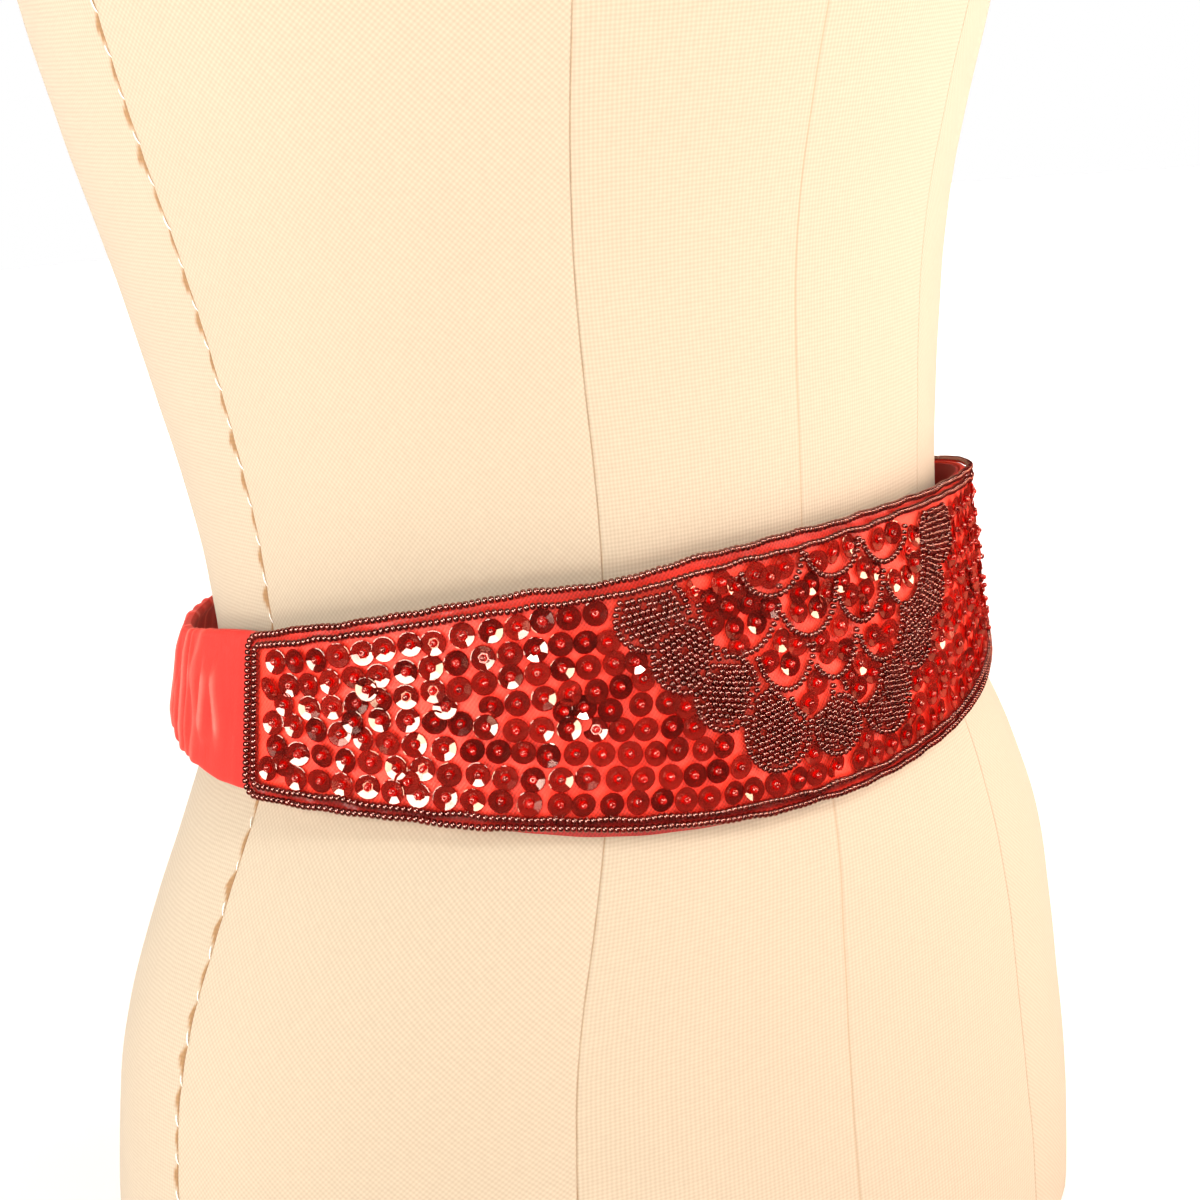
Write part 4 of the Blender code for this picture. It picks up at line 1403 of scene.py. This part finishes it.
class CUMMERBUND_OT_sequins(bpy.types.Operator):
    """Lays the cupped sequins, each held by a bead"""
    bl_idname = "cummerbund.sequins"
    bl_label = "Sequins"

    def execute(self, context):
        scene = context.scene
        film = sequin_film(scene.cummerbund_sequins)
        finish_piece(add_sequins(scene.cummerbund_sequins, film), "sequin_film")
        # painted light: the stop beads' glass is lighter than the other beads', for the light that the satin
        # and the sequin's clear middle send into them
        glass = bead_glass("lit_stop_bead_glass", scene.cummerbund_beads.stop_glass)
        finish_piece(add_stop_beads(scene.cummerbund_beads, glass), "glass_beads")
        return {"FINISHED"}


class CUMMERBUND_OT_declare(bpy.types.Operator):
    """Does nothing: it states no piece of cloth as a sheet"""
    bl_idname = "cummerbund.declare"
    bl_label = "State the cuts of cloth"

    def execute(self, context):
        return {"FINISHED"}


OPERATORS = (
    CUMMERBUND_OT_studio,
    CUMMERBUND_OT_linen_cover,
    CUMMERBUND_OT_panel,
    CUMMERBUND_OT_band,
    CUMMERBUND_OT_beadwork,
    CUMMERBUND_OT_sequins,
    CUMMERBUND_OT_declare,
)


class CUMMERBUND_PT_sidebar(bpy.types.Panel):
    """Lists the operators and the sizes and colours they read"""
    bl_idname = "CUMMERBUND_PT_sidebar"
    bl_label = "Beaded cummerbund"
    bl_space_type = "VIEW_3D"
    bl_region_type = "UI"
    bl_category = "Cummerbund"

    def draw(self, context):
        for operator in OPERATORS:
            self.layout.operator(operator.bl_idname)
        for name, group in SETTINGS.items():
            box = self.layout.box()
            for setting in group.__annotations__:
                box.prop(getattr(context.scene, name), setting)


def register():
    for group in SETTINGS.values():
        bpy.utils.register_class(group)
    for name, group in SETTINGS.items():
        setattr(bpy.types.Scene, name, PointerProperty(type=group))
    for operator in OPERATORS:
        bpy.utils.register_class(operator)
    bpy.utils.register_class(CUMMERBUND_PT_sidebar)


def unregister():
    bpy.utils.unregister_class(CUMMERBUND_PT_sidebar)
    for operator in reversed(OPERATORS):
        bpy.utils.unregister_class(operator)
    for name in SETTINGS:
        delattr(bpy.types.Scene, name)
    for group in SETTINGS.values():
        bpy.utils.unregister_class(group)


def main():
    register()
    bpy.ops.cummerbund.studio()
    bpy.ops.cummerbund.linen_cover()
    bpy.ops.cummerbund.panel()
    bpy.ops.cummerbund.band()
    bpy.ops.cummerbund.beadwork()
    bpy.ops.cummerbund.sequins()
    bpy.ops.cummerbund.declare()


if __name__ == "__main__":
    main()
